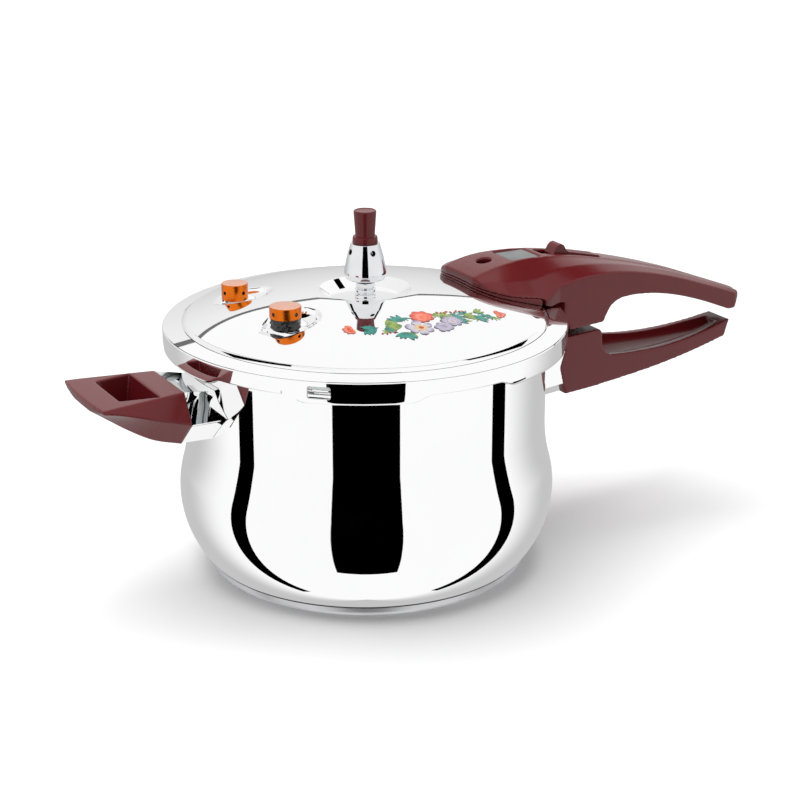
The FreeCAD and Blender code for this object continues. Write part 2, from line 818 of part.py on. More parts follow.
def collar(name, stations, thickness, *tools):
    """A sheet-steel collar through outlines across the X axis, cut to the pot's wall and the handle."""
    outer = lofted(name + "_outer", [(x, mirrored(half)) for x, half in stations])
    inner = lofted(name + "_inner", [
        (x + (-1.0 if x < 0 else 1.0) * shift,
         mirrored([(y - thickness, z - math.copysign(thickness, z - 116.0)) for y, z in half]))
        for (x, half), shift in zip(stations, (-5.0, 5.0))
    ])
    return cut(name, outer, inner, *tools)


ferrule_tools = [neck, lower_side]
lower_handle_ferrule = node(collar("lower_ferrule", [
    (98.0, [(30.0, 131.0), (37.0, 122.0), (37.0, 101.0), (30.0, 93.5)]),
    (128.0, [(27.0, 131.0), (33.0, 123.0), (33.0, 102.0), (27.0, 95.0)]),
], 1.5, *ferrule_tools), "lower_handle_ferrule")
lock_catch = node(cut("catch", box("catch_plate", (144.0, 157.0), (-9.0, 9.0), (132.4, 134.0)),
                      cylinder("catch_hole", 1.6, 5.0, 147.0, 6.0, 130.0),
                      cylinder("catch_hole_2", 1.6, 5.0, 147.0, -6.0, 130.0)), "lock_catch")

# ---------------------------------------------------------------- helper handle

# x, then half widths and heights of the top edge, the side ridge and the bottom edge
HELPER = [
    (-131.0, 23.0, 136.0, 34.0, 119.0, 16.0, 101.5),
    (-150.0, 26.3, 136.0, 34.6, 125.0, 15.0, 107.6),
    (-170.0, 29.6, 136.0, 34.0, 131.2, 13.0, 119.0),
    (-188.0, 32.6, 135.6, 33.4, 134.6, 12.0, 132.6),
]
helper_loft = lofted("helper_loft", [
    (x, mirrored([(top_half, top), (ridge_half, ridge), (bottom_half, bottom)]))
    for x, top_half, top, ridge_half, ridge, bottom_half, bottom in HELPER
])
helper_nose = place(padded("helper_nose", "XY_Plane", [
    (-181.5, 40.0),
    (-181.5, -40.0, -186.0, 0.0),
    (-125.0, -40.0),
    (-125.0, 40.0),
], 60.0, symmetric=False), z=90.0)
helper_block = common("helper_block", helper_loft, helper_nose)
well_side = padded("well_side", "XZ_Plane", [
    (-145.5, 140.0),
    (-149.0, 114.5),
    (-166.0, 122.5),
    (-170.0, 140.0),
], 44.0)
helper_tools = [
    well_side,
    box("helper_pocket", (-143.3, -125.0), (-9.3, 9.3), (110.7, 121.3)),
    cylinder("helper_screw_room", 2.2, 40.0, -137.0, 0, 95.0),
    cylinder("helper_screw_counterbore", 4.6, 11.5, -137.0, 0, 95.0),
]
helper_handle = node(cut("helper_handle", helper_block, *helper_tools), "helper_handle")
helper_tongue = box("helper_tongue", (-143.0, -100.0), (-9.0, 9.0), (111.0, 121.0))
helper_bracket = node(cut("helper_bracket", helper_tongue, neck,
                          cylinder("helper_bracket_hole", 2.0, 30.0, -137.0, 0, 100.0)), "helper_bracket")
helper_screw = node(fuse("helper_screw", cylinder("helper_screw_head", 4.2, 2.6, -137.0, 0, 103.9),
                         cylinder("helper_screw_shank", 2.0, 14.5, -137.0, 0, 106.5)), "helper_screw")
helper_ferrule = node(collar("helper_ferrule", [
    (-98.0, [(16.0, 130.0), (29.0, 117.0), (14.0, 100.5)]),
    (-131.0, [(22.5, 135.5), (33.5, 119.0), (15.5, 102.0)]),
], 1.2, neck), "helper_ferrule")

# ---------------------------------------------------------------- check and write

doc.recompute()
failed = [thing.Name for thing in doc.Objects if "Invalid" in thing.State or "Error" in thing.State]
if failed:
    raise SystemExit("failed objects: " + ", ".join(failed))
for piece in NODES:
    if piece.Shape.isNull() or not piece.Shape.isValid() or not piece.Shape.Solids:
        raise SystemExit("bad shape: " + piece.Label)

os.makedirs("parts", exist_ok=True)
for piece in NODES:
    piece.Shape.exportStep(os.path.join("parts", piece.Label + ".step"))
print(len(NODES), "sub-parts written")
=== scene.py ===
import math

import bmesh
import bpy
import numpy as np
from mathutils import Matrix, Vector


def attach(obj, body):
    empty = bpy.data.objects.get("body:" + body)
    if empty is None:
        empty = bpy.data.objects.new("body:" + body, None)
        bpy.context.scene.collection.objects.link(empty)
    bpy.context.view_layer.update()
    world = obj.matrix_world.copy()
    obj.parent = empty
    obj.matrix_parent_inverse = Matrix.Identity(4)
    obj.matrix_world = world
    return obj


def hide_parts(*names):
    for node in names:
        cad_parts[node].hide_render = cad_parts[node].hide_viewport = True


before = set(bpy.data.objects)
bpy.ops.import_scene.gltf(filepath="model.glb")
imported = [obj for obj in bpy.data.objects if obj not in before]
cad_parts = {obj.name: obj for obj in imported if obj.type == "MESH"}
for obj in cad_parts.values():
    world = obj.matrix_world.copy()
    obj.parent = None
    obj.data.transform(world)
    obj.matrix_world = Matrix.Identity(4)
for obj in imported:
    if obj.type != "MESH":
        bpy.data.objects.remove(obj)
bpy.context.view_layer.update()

# ------------------------------------------------------------------ pot
# The pot is one deep-drawn stainless shell: a belly, a waist and a straight neck, all mirror polished.
# Its rim is turned out into a flange with six lugs that the lid's tabs slip under.

MM = 0.001


def add(tree, kind, inputs=None, **settings):
    """A node with its settings; each input takes a number, a colour or another node's output."""
    made = tree.nodes.new(kind)
    for name, setting in settings.items():
        setattr(made, name, setting)
    for name, source in (inputs or {}).items():
        socket = made.inputs[name]
        if isinstance(source, bpy.types.NodeSocket):
            tree.links.new(source, socket)
        else:
            socket.default_value = source
    return made


def maths(tree, operation, first, second=0.0, third=0.0):
    """The result of one sum on numbers or sockets."""
    made = add(tree, "ShaderNodeMath", {0: first, 1: second, 2: third}, operation=operation)
    return made.outputs[0]


def sockets(tree, inputs, outputs):
    """Names the inputs of a node group, with their usual values, and its outputs."""
    for name, (kind, usual) in inputs.items():
        made = tree.interface.new_socket(name, in_out="INPUT", socket_type="NodeSocket" + kind)
        if usual is not None:
            made.default_value = usual
    for name, kind in outputs.items():
        tree.interface.new_socket(name, in_out="OUTPUT", socket_type="NodeSocket" + kind)


def lathe_tree():
    """Turns a half section about the upright axis. Lobes are places round it where a second section
    takes over, as at the tabs of a bayonet rim."""
    tree = bpy.data.node_groups.new("Lathe", "GeometryNodeTree")
    sockets(tree, {
        "Section": ("Geometry", None), "Segments": ("Int", 96), "Lobes": ("Int", 1),
        "Lobe turn": ("Float", 0.0), "Run out": ("Float", 1.0), "Finish": ("Material", None),
    }, {"Piece": "Geometry"})
    given = add(tree, "NodeGroupInput").outputs
    corners = add(tree, "GeometryNodeAttributeDomainSize", {"Geometry": given["Section"]})
    columns = maths(tree, "ADD", given["Segments"], 1.0)
    grid = add(tree, "GeometryNodeMeshGrid", {"Vertices X": corners.outputs["Point Count"], "Vertices Y": columns})
    index = add(tree, "GeometryNodeInputIndex").outputs[0]
    row = maths(tree, "FLOOR", maths(tree, "DIVIDE", maths(tree, "ADD", index, 0.5), columns))
    column = maths(tree, "SUBTRACT", index, maths(tree, "MULTIPLY", row, columns))
    turn = maths(tree, "DIVIDE", column, given["Segments"])
    own = add(tree, "GeometryNodeInputPosition").outputs[0]
    lobe = add(tree, "GeometryNodeInputNamedAttribute", {"Name": "lobe"}, data_type="FLOAT_VECTOR").outputs[0]
    found = [
        add(tree, "GeometryNodeSampleIndex", {"Geometry": given["Section"], "Value": field, "Index": row},
            data_type="FLOAT_VECTOR").outputs[0]
        for field in (own, lobe)
    ]
    step = maths(tree, "FRACT", maths(tree, "ADD", maths(tree, "MULTIPLY", turn, given["Lobes"]), 0.5))
    away = maths(tree, "MULTIPLY", maths(tree, "ABSOLUTE", maths(tree, "SUBTRACT", step, 0.5)),
                 maths(tree, "DIVIDE", 360.0, given["Lobes"]))
    half = maths(tree, "MULTIPLY", given["Lobe turn"], 0.5)
    reach = maths(tree, "MULTIPLY", given["Run out"], 0.5)
    share = add(tree, "ShaderNodeMapRange", {
        "Value": away, "From Min": maths(tree, "SUBTRACT", half, reach),
        "From Max": maths(tree, "ADD", half, reach),
        "To Min": 1.0, "To Max": 0.0,
    }, interpolation_type="SMOOTHSTEP").outputs[0]
    mixed = add(tree, "ShaderNodeMix", data_type="VECTOR")
    for slot_number, source in ((0, share), (4, found[0]), (5, found[1])):
        tree.links.new(source, mixed.inputs[slot_number])
    parts = add(tree, "ShaderNodeSeparateXYZ", {0: mixed.outputs[1]}).outputs
    angle = maths(tree, "MULTIPLY", turn, 2.0 * math.pi)
    place = add(tree, "ShaderNodeCombineXYZ", {
        0: maths(tree, "MULTIPLY", parts[0], maths(tree, "COSINE", angle)),
        1: maths(tree, "MULTIPLY", parts[0], maths(tree, "SINE", angle)),
        2: parts[2],
    })
    moved = add(tree, "GeometryNodeSetPosition", {"Geometry": grid.outputs["Mesh"], "Position": place.outputs[0]})
    joined = add(tree, "GeometryNodeMergeByDistance", {"Geometry": moved.outputs[0], "Distance": 0.000002})
    real = add(tree, "GeometryNodeRealizeInstances", {0: joined.outputs[0]})
    finished = add(tree, "GeometryNodeSetMaterial", {"Geometry": real.outputs[0], "Material": given["Finish"]})
    add(tree, "NodeGroupOutput", {"Piece": finished.outputs[0]})
    return tree


def grown(name, mesh, tree, values):
    """A plain object from a mesh and a geometry tree, whose named inputs take the values."""
    thing = bpy.data.objects.new(name, mesh)
    bpy.context.scene.collection.objects.link(thing)
    modifier = thing.modifiers.new("tree", "NODES")
    modifier.node_group = tree
    for socket in tree.interface.items_tree:
        if socket.item_type == "SOCKET" and socket.in_out == "INPUT" and socket.name in values:
            modifier[socket.identifier] = values[socket.name]
    return plain(thing)


def plain(thing, sharp=None):
    """Applies an object's modifiers. With an angle, the mesh is cleaned, closed and given sharp edges."""
    bpy.context.view_layer.update()
    seen = thing.evaluated_get(bpy.context.evaluated_depsgraph_get())
    mesh = bpy.data.meshes.new_from_object(seen)
    thing.modifiers.clear()
    thing.data = mesh
    return finished(thing, sharp) if sharp else thing


def finished(thing, sharp=35.0):
    """Merges doubles, turns the faces outwards and shades them smooth up to an angle."""
    work = bmesh.new()
    work.from_mesh(thing.data)
    bmesh.ops.remove_doubles(work, verts=work.verts, dist=0.000002)
    bmesh.ops.dissolve_degenerate(work, dist=0.000001, edges=work.edges)
    bmesh.ops.recalc_face_normals(work, faces=work.faces)
    for face in work.faces:
        face.smooth = True
    work.to_mesh(thing.data)
    work.free()
    thing.data.set_sharp_from_angle(angle=math.radians(sharp))
    return thing


def arc(centre, radius, start, end, steps):
    """Points along an arc, in degrees."""
    angles = np.radians(np.linspace(start, end, steps + 1))
    return [(centre[0] + radius * math.cos(a), centre[1] + radius * math.sin(a)) for a in angles]


def rounded(corners, steps=5):
    """A section whose corners are rounded: a corner is (radius, height) or (radius, height, rounding)."""
    points = []
    for number, corner in enumerate(corners):
        here = Vector(corner[:2])
        if len(corner) == 2 or number in (0, len(corners) - 1):
            points.append(tuple(here))
            continue
        back = Vector(corners[number - 1][:2]) - here
        ahead = Vector(corners[number + 1][:2]) - here
        half = back.angle(ahead) / 2
        if half > 1.56:
            points += [tuple(here)] * (steps + 1)
            continue
        reach = min(corner[2] / math.tan(half), back.length * 0.49, ahead.length * 0.49)
        radius = reach * math.tan(half)
        middle = here + (back.normalized() + ahead.normalized()).normalized() * (radius / math.sin(half))
        first = here + back.normalized() * reach - middle
        last = here + ahead.normalized() * reach - middle
        start = math.atan2(first.y, first.x)
        turn = (math.atan2(last.y, last.x) - start + math.pi) % (2 * math.pi) - math.pi
        for step in range(steps + 1):
            angle = start + turn * step / steps
            points.append((middle.x + radius * math.cos(angle), middle.y + radius * math.sin(angle)))
    return points


def turned(name, section, finish, segments=96, sharp=35.0, lobe=None, lobes=1, lobe_turn=0.0, run_out=1.0,
           at=(0.0, 0.0, 0.0)):
    """A lathe-turned piece from a section in millimetres, moved to its place."""
    mesh = bpy.data.meshes.new(name + "_section")
    mesh.from_pydata([(x * MM, 0, z * MM) for x, z in section],
                     [(number, number + 1) for number in range(len(section) - 1)], [])
    second = mesh.attributes.new("lobe", "FLOAT_VECTOR", "POINT")
    for spot, (x, z) in zip(second.data, lobe or section):
        spot.vector = (x * MM, 0, z * MM)
    thing = grown(name, mesh, lathe, {
        "Segments": segments, "Lobes": lobes, "Lobe turn": lobe_turn, "Run out": run_out, "Finish": finish,
    })
    thing.data.transform(Matrix.Translation(Vector(at) * MM))
    return finished(thing, sharp)


def handling_marks():
    """What polishing and use leave on a hard surface: a patchy gloss and very fine scratches."""
    tree = bpy.data.node_groups.new("Handling marks", "ShaderNodeTree")
    sockets(tree, {
        "Vector": ("Vector", None), "Gloss": ("Float", 0.05), "Haze": ("Float", 0.05),
        "Patch size": ("Float", 40.0), "Scratch size": ("Float", 900.0),
    }, {"Roughness": "Float", "Height": "Float", "Patches": "Float"})
    given = add(tree, "NodeGroupInput").outputs
    patches = add(tree, "ShaderNodeTexNoise", {
        "Vector": given["Vector"], "Scale": given["Patch size"], "Detail": 4.0, "Roughness": 0.6}).outputs[0]
    spread = add(tree, "ShaderNodeMapRange", {"Value": patches, "From Min": 0.35, "From Max": 0.7}).outputs[0]
    drawn = add(tree, "ShaderNodeMapping", {"Vector": given["Vector"], "Scale": (1.0, 1.0, 0.04)}).outputs[0]
    lines = add(tree, "ShaderNodeTexNoise", {
        "Vector": drawn, "Scale": given["Scratch size"], "Detail": 2.0, "Roughness": 0.5}).outputs[0]
    amount = maths(tree, "MULTIPLY_ADD", spread, given["Haze"], given["Gloss"])
    add(tree, "NodeGroupOutput", {"Roughness": amount, "Height": lines, "Patches": spread})
    return tree


def surface(name, base, metallic, gloss, haze, patch=40.0, scratch=900.0, relief=0.02, shade=0.88, **shader):
    """A finish in one colour with its own gloss, patchiness and fine relief."""
    material = bpy.data.materials.new(name)
    material.use_nodes = True
    tree = material.node_tree
    tree.nodes.clear()
    where = add(tree, "ShaderNodeTexCoord").outputs["Object"]
    marks = add(tree, "ShaderNodeGroup", node_tree=marks_group)
    tree.links.new(where, marks.inputs["Vector"])
    for label, value in (("Gloss", gloss), ("Haze", haze), ("Patch size", patch), ("Scratch size", scratch)):
        marks.inputs[label].default_value = value
    darker = tuple(channel * shade for channel in base[:3]) + (1.0,)
    colour = add(tree, "ShaderNodeMix", data_type="RGBA")
    tree.links.new(marks.outputs["Patches"], colour.inputs[0])
    colour.inputs[6].default_value = tuple(base[:3]) + (1.0,)
    colour.inputs[7].default_value = darker
    bump = add(tree, "ShaderNodeBump", {"Height": marks.outputs["Height"], "Strength": relief, "Distance": 0.0002})
    principled = add(tree, "ShaderNodeBsdfPrincipled", {
        "Base Color": colour.outputs[2], "Metallic": metallic, "Roughness": marks.outputs["Roughness"],
        "Normal": bump.outputs[0]})
    for label, value in shader.items():
        principled.inputs[label.replace("_", " ")].default_value = value
    add(tree, "ShaderNodeOutputMaterial", {"Surface": principled.outputs[0]})
    return material


lathe = lathe_tree()
marks_group = handling_marks()
polished = surface("polished_steel", (0.95, 0.95, 0.953), 1.0, 0.012, 0.02, patch=18.0, relief=0.004, shade=0.985)


def pot_side(inset):
    """The pot's side from its foot to its neck, moved in by the wall."""
    belly, corner, waist = 64.4 - inset, 31.2 - inset, 100.0 + inset
    belly_at = (53.2, 49.7)
    corner_at = (belly_at[0] + 33.2 * math.cos(math.radians(39.9)), 49.7 - 33.2 * math.sin(math.radians(39.9)))
    waist_at = (211.8, 92.983)
    foot = math.degrees(math.asin((7.5 + inset - corner_at[1]) / corner))
    meet = math.degrees(math.atan2(waist_at[1] - belly_at[1], waist_at[0] - belly_at[0]))
    return (arc(corner_at, corner, foot, -39.9, 16) + arc(belly_at, belly, -39.9, meet, 40)[1:]
            + arc(waist_at, waist, meet + 180, 180, 24)[1:])


def straight(start, end, steps):
    """Evenly spaced points on a line, without its first."""
    return [tuple(point) for point in np.linspace(start, end, steps + 1)[1:]]


neck_out = straight((111.8, 92.983), (111.8, 146.0), 6)
neck_in = straight((110.3, 148.0), (110.3, 92.983), 4)
side_out = [(0.0, 7.5), (60.0, 7.5)] + pot_side(0.0)
side_in = list(reversed(pot_side(1.5))) + [(60.0, 9.0), (0.0, 9.0)]
rim_plain = rounded([(111.8, 146.0), (111.8, 147.5, 0.6), (115.0, 147.5, 0.1), (115.4, 147.6, 0.1),
                     (115.8, 149.5, 0.4), (110.3, 149.5, 0.6), (110.3, 148.0)])
rim_lug = rounded([(111.8, 146.0), (111.8, 147.5, 0.6), (118.4, 147.5, 0.8), (118.6, 145.0, 0.1),
                   (120.3, 149.5, 1.6), (110.3, 149.5, 0.6), (110.3, 148.0)])
pot = turned("pot_shell", side_out + neck_out + rim_plain[1:] + neck_in + side_in[1:], polished, segments=288,
             lobe=side_out + neck_out + rim_lug[1:] + neck_in + side_in[1:], lobes=6, lobe_turn=30.0, run_out=2.0,
             sharp=45.0)
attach(pot, "pot")
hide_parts("pot_body")

# ------------------------------------------------------------------ base
# A steel cap is pressed over an aluminium disc and both are bonded under the pot, to spread the heat.
# The cap's satin edge shows as a pale ring. The near-black ring between it and the pot is painted shade, standing
# in for the shadow in the gap under the pot's edge.

cap_section = rounded([(0.0, 0.0), (60.0, 0.0, 0.1), (100.3, 0.0, 4.8), (100.3, 7.5, 0.25), (99.3, 7.5, 0.2),
                       (99.3, 1.0, 3.8), (60.0, 1.0, 0.1), (0.0, 1.0)], steps=8)
satin = surface("satin_steel", (0.70, 0.70, 0.715), 1.0, 0.42, 0.06, patch=30.0, relief=0.02)
base = turned("base_ring", cap_section, satin, segments=256, sharp=50.0)
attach(base, "pot")
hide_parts("base_cap")
# painted shade: a near-black ring stands in for the shadow in the gap under the pot's lower edge
gap_shade = surface("painted_gap_shade", (0.02, 0.02, 0.022), 0.0, 0.5, 0.1, patch=12.0, relief=0.1)
gap_shade_section = rounded([(100.2, 7.45), (101.75, 7.45), (100.8, 6.2, 0.3), (100.35, 5.9), (100.35, 7.3)])
joint = turned("base_gap_shade", gap_shade_section, gap_shade, segments=256)
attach(joint, "pot")

aluminium = surface("aluminium_core", (0.72, 0.73, 0.74), 1.0, 0.35, 0.15, patch=60.0, relief=0.2)


def finish_cad(name, finish):
    """A fitting that keeps its CAD shape and takes a finish."""
    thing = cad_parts[name]
    thing.data.materials.clear()
    thing.data.materials.append(finish)


finish_cad("base_core", aluminium)

# ------------------------------------------------------------------ lid
# The lid is pressed from polished sheet: a shallow dome, a flat land, and a skirt with six tabs turned in
# under the pot's lugs. Dishes are pressed in the dome for the vent pipe and for both valves.

DOME = 368.0
DOME_CENTRE = 175.8 - DOME


def dome(radius, offset=0.0):
    """The dome's height at a distance from the lid's axis."""
    return DOME_CENTRE + math.sqrt((DOME + offset) ** 2 - radius ** 2)


centre_dish = rounded([(0.0, 169.5), (21.2, 169.5, 1.2), (28.4, dome(28.4), 1.0), (34.0, dome(34.0))], steps=6)
dome_line = [(radius, dome(radius)) for radius in np.linspace(34.0, 110.2, 92)[1:]]
roll_at = (109.2 - 8.5 * math.sin(math.radians(17.2)), dome(109.2) - 8.5 * math.cos(math.radians(17.2)))
roll = arc(roll_at, 8.5, 72.8, 44.0, 20)[1:]
foot = roll[-1]
brow = foot[1] - 0.2
land = [(foot[0] + 0.05, brow - 0.9), (foot[0] + 0.35, brow - 0.9), (foot[0] + 0.35, brow)] + rounded([
    (foot[0] + 0.35, brow), (124.0, brow - 1.5), (124.0, brow - 2.3), (124.25, brow - 2.3), (124.25, brow - 1.75),
    (124.7, brow - 2.4, 0.3), (124.7, 150.2)], steps=5)[1:]
skirt = straight((124.7, 150.2), (124.7, 148.7), 2)
skirt_in = straight((122.9, 148.7), (122.9, 152.6), 2)
gap_edge = rounded([(124.7, 148.7), (124.7, 145.9, 1.2), (122.95, 145.9, 0.1), (122.9, 146.05, 0.02),
                    (122.9, 146.2, 0.02), (122.9, 148.7)], steps=6)
tab_edge = rounded([(124.7, 148.7), (124.7, 141.3, 2.4), (115.8, 141.3, 0.2), (115.8, 143.1, 0.2),
                    (122.9, 143.1, 1.0), (122.9, 148.7)], steps=6)
inside = rounded([(122.9, 152.6), (122.9, 154.0, 0.8), (112.0, 154.2, 0.8), (108.0, dome(108.0, -1.8), 1.0),
                  (70.0, dome(70.0, -1.8))], steps=3)
inside += [(radius, dome(radius, -1.8)) for radius in np.linspace(70.0, 29.0, 16)[1:]]
inside += rounded([(29.0, dome(29.0, -1.8)), (21.9, 167.7, 1.0), (0.0, 167.7)], steps=3)[1:]
over = centre_dish + dome_line + roll + land + skirt
lid = turned("lid_dome", over + gap_edge[1:] + skirt_in + inside[1:], polished, segments=480,
             lobe=over + tab_edge[1:] + skirt_in + inside[1:], lobes=6, lobe_turn=34.0, run_out=6.0)


def ring_block(name, start, turn, low, high, corner, inner, outer):
    """A block bent round the axis with rounded ends, to cut an opening in the skirt."""
    columns = 28
    work = bmesh.new()
    length = math.radians(turn) * outer
    rings = []
    for step in range(columns + 1):
        along = length * 0.5 * (1 - math.cos(math.pi * step / columns))
        end = min(along, length - along)
        drop = corner - math.sqrt(max(corner ** 2 - max(corner - end, 0.0) ** 2, 0.0))
        angle = math.radians(start) + along / outer
        ring = []
        for radius, height in ((inner, low + drop), (outer, low + drop), (outer, high - drop),
                               (inner, high - drop)):
            spot = Vector((radius * math.cos(angle), radius * math.sin(angle), height))
            ring.append(work.verts.new(spot * MM))
        rings.append(ring)
    for first, second in zip(rings, rings[1:]):
        for side in range(4):
            work.faces.new((first[side], first[(side + 1) % 4], second[(side + 1) % 4], second[side]))
    work.faces.new(rings[0])
    work.faces.new(rings[-1])
    mesh = bpy.data.meshes.new(name)
    work.to_mesh(mesh)
    work.free()
    thing = bpy.data.objects.new(name, mesh)
    bpy.context.scene.collection.objects.link(thing)
    return finished(thing)


def carved(thing, cutters, operation="DIFFERENCE", solver="MANIFOLD"):
    """Cuts, or keeps what is shared with, each cutter in turn, and removes the cutters."""
    for cutter in cutters:
        for finish in filter(None, cutter.data.materials):
            if finish.name not in thing.data.materials:
                thing.data.materials.append(finish)
        step = thing.modifiers.new("cut", "BOOLEAN")
        step.operation = operation
        step.solver = solver
        step.object = cutter
        if solver == "EXACT" and any(cutter.data.materials):
            step.material_mode = "TRANSFER"
    plain(thing)
    for cutter in cutters:
        bpy.data.objects.remove(cutter)
    return thing


# painted shade: the walls of the drilled holes are made near black to stand in for the dark inside each hole
hole_shade = surface("bore_shade", (0.012, 0.011, 0.010), 0.0, 0.55, 0.10, patch=8.0, relief=0.2)


def dark_tools(cutters):
    """Gives cutters a near-black finish that the walls of their holes take on: painted shade inside each drilled
    hole.
    """
    for cutter in cutters:
        cutter.data.materials.append(hole_shade)
    return cutters


carved(lid, [ring_block("pressure_slot", -133.4, 6.3, 144.9, 152.3, 1.4, 120.8, 127.0),
             ring_block("tab_window", -140.6, 4.3, 142.6, 148.2, 0.9, 114.0, 127.0)])
VALVES = {"safety": (-67.0, -26.0, 165.0, 9.0), "relief": (-66.5, 47.0, 163.5, 8.4)}


def dish_height(x, y, valve):
    """The height of the dish round a valve: a level floor whose rim rises, drawn out towards the lid's edge."""
    centre_x, centre_y, floor, seat = VALVES[valve]
    out = math.hypot(centre_x, centre_y)
    along = ((x - centre_x) * centre_x + (y - centre_y) * centre_y) / out
    across = ((x - centre_x) * -centre_y + (y - centre_y) * centre_x) / out
    along = np.where(along > 0, along * 0.28, along * 0.86)
    past = np.maximum(np.hypot(along, across) - seat, 0.0)
    return floor + 0.045 * past ** 2 + 0.12 * past


points = np.empty(len(lid.data.vertices) * 3)
lid.data.vertices.foreach_get("co", points)
points = points.reshape(-1, 3) / MM
radius = np.hypot(points[:, 0], points[:, 1])
for valve in VALVES:
    dish = dish_height(points[:, 0], points[:, 1], valve)
    for offset in (0.0, -1.8):
        height = DOME_CENTRE + np.sqrt((DOME + offset) ** 2 - radius ** 2)
        on_sheet = (np.abs(points[:, 2] - height) < 0.6) & (radius > 34.0) & (radius < 111.0)
        gap = dish + offset - height
        eased = 0.5 * (gap - np.sqrt(gap ** 2 + 0.12)) + 0.5 * np.sqrt(0.12) * np.exp(-gap ** 2)
        points[:, 2] = np.where(on_sheet & (gap < 1.5), points[:, 2] + np.minimum(eased, 0.0), points[:, 2])
lid.data.vertices.foreach_set("co", (points * MM).ravel())
finished(lid, 38.0)
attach(lid, "lid")
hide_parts("lid_shell")

silicone_clear = surface("clear_silicone", (0.78, 0.77, 0.74), 0.0, 0.35, 0.15, relief=0.05,
                         Subsurface_Weight=0.2, Specular_IOR_Level=0.5)
finish_cad("sealing_gasket", silicone_clear)

# ------------------------------------------------------------------ vent pipe and regulator
# A turned brass pipe, chromed, is held in the lid's centre dish by a nut and washer. The weight that sits
# on it is a chromed bell with four vents, and its bakelite knob is moulded on with the needle.

chrome = surface("chromed_brass", (0.80, 0.81, 0.83), 1.0, 0.02, 0.04, patch=60.0, relief=0.01)
steel = surface("plain_steel", (0.60, 0.60, 0.60), 1.0, 0.22, 0.14, patch=90.0, relief=0.08)
bakelite = surface("burgundy_bakelite", (0.118, 0.008, 0.010), 0.0, 0.24, 0.02, patch=30.0, scratch=500.0,
                   relief=0.004, shade=0.94, Specular_IOR_Level=0.30, Coat_Weight=0.08, Coat_Roughness=0.10)

pipe = turned("vent_pipe_turned", rounded([
    (1.5, 155.0), (5.0, 155.0, 0.2), (5.0, 169.5, 0.1), (6.6, 169.5, 0.1), (6.6, 171.4, 0.4), (5.4, 172.0, 0.2),
    (6.3, 172.8, 0.4), (6.3, 174.6, 0.4), (5.2, 175.2, 0.2), (6.0, 176.0, 0.4), (6.0, 178.6, 0.5),
    (4.2, 180.0, 0.3), (4.2, 187.4, 0.3), (3.2, 188.4, 0.3), (1.5, 188.4, 0.2), (1.5, 155.0)], steps=4),
    chrome, segments=64)
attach(pipe, "lid")
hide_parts("vent_pipe")


def drill(name, radius, start, end, sides=24):
    """A round cutter between two points, in millimetres."""
    start, end = Vector(start) * MM, Vector(end) * MM
    work = bmesh.new()
    bmesh.ops.create_cone(work, cap_ends=True, segments=sides, radius1=radius * MM, radius2=radius * MM,
                          depth=(end - start).length)
    turn = (end - start).to_track_quat("Z", "Y").to_matrix().to_4x4()
    bmesh.ops.transform(work, verts=work.verts, matrix=Matrix.Translation((start + end) / 2) @ turn)
    mesh = bpy.data.meshes.new(name)
    work.to_mesh(mesh)
    work.free()
    thing = bpy.data.objects.new(name, mesh)
    bpy.context.scene.collection.objects.link(thing)
    return thing


def side_drills(count, first, radius, near, far, centre, height):
    """Cutters for cross holes evenly spaced round a turned piece."""
    made = []
    for number in range(count):
        angle = math.radians(first + 360.0 * number / count)
        way = Vector((math.cos(angle), math.sin(angle), 0.0))
        middle = Vector((centre[0], centre[1], height))
        made.append(drill("side_drill", radius, middle + way * near, middle + way * far))
    return made


weight = turned("regulator_bell", rounded([
    (2.05, 201.6), (2.05, 203.25), (8.9, 203.25, 0.3), (11.3, 194.6, 12.0), (13.2, 184.9, 6.0), (12.3, 181.3, 1.4),
    (11.4, 180.9, 0.3), (7.4, 180.9, 0.3), (7.0, 197.6, 0.5), (2.05, 201.6)], steps=8), chrome, segments=128)
carved(weight, dark_tools(side_drills(4, 0.0, 1.75, 5.0, 14.0, (0.0, 0.0), 198.6)), solver="EXACT")
finished(weight, 40.0)
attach(weight, "regulator")
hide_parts("regulator_weight")

knob = turned("regulator_knob_moulded", rounded([
    (0.0, 223.2), (5.6, 223.2, 0.2), (5.9, 223.5, 0.2), (6.6, 223.5, 0.35), (7.0, 222.8, 0.3), (5.95, 207.7, 0.3),
    (7.5, 207.5, 0.4), (7.75, 205.4, 0.3), (7.75, 203.3, 0.2), (2.05, 203.3), (2.05, 212.0), (0.0, 212.0)],
    steps=4), bakelite, segments=96)
carved(knob, [drill("thumb_notch", 1.1, (4.2, 5.2, 223.6), (7.4, 9.0, 223.6))])
finished(knob, 40.0)
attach(knob, "regulator")
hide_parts("regulator_knob")
for name in ("vent_washer", "vent_nut", "anti_block_cap", "regulator_needle"):
    finish_cad(name, steel)

# ------------------------------------------------------------------ safety valve and relief valve
# Each valve stands in its own dish: a steel body under an aluminium cap, anodised orange, with four
# vents. The front one has a black silicone boot between the cap and the lid.


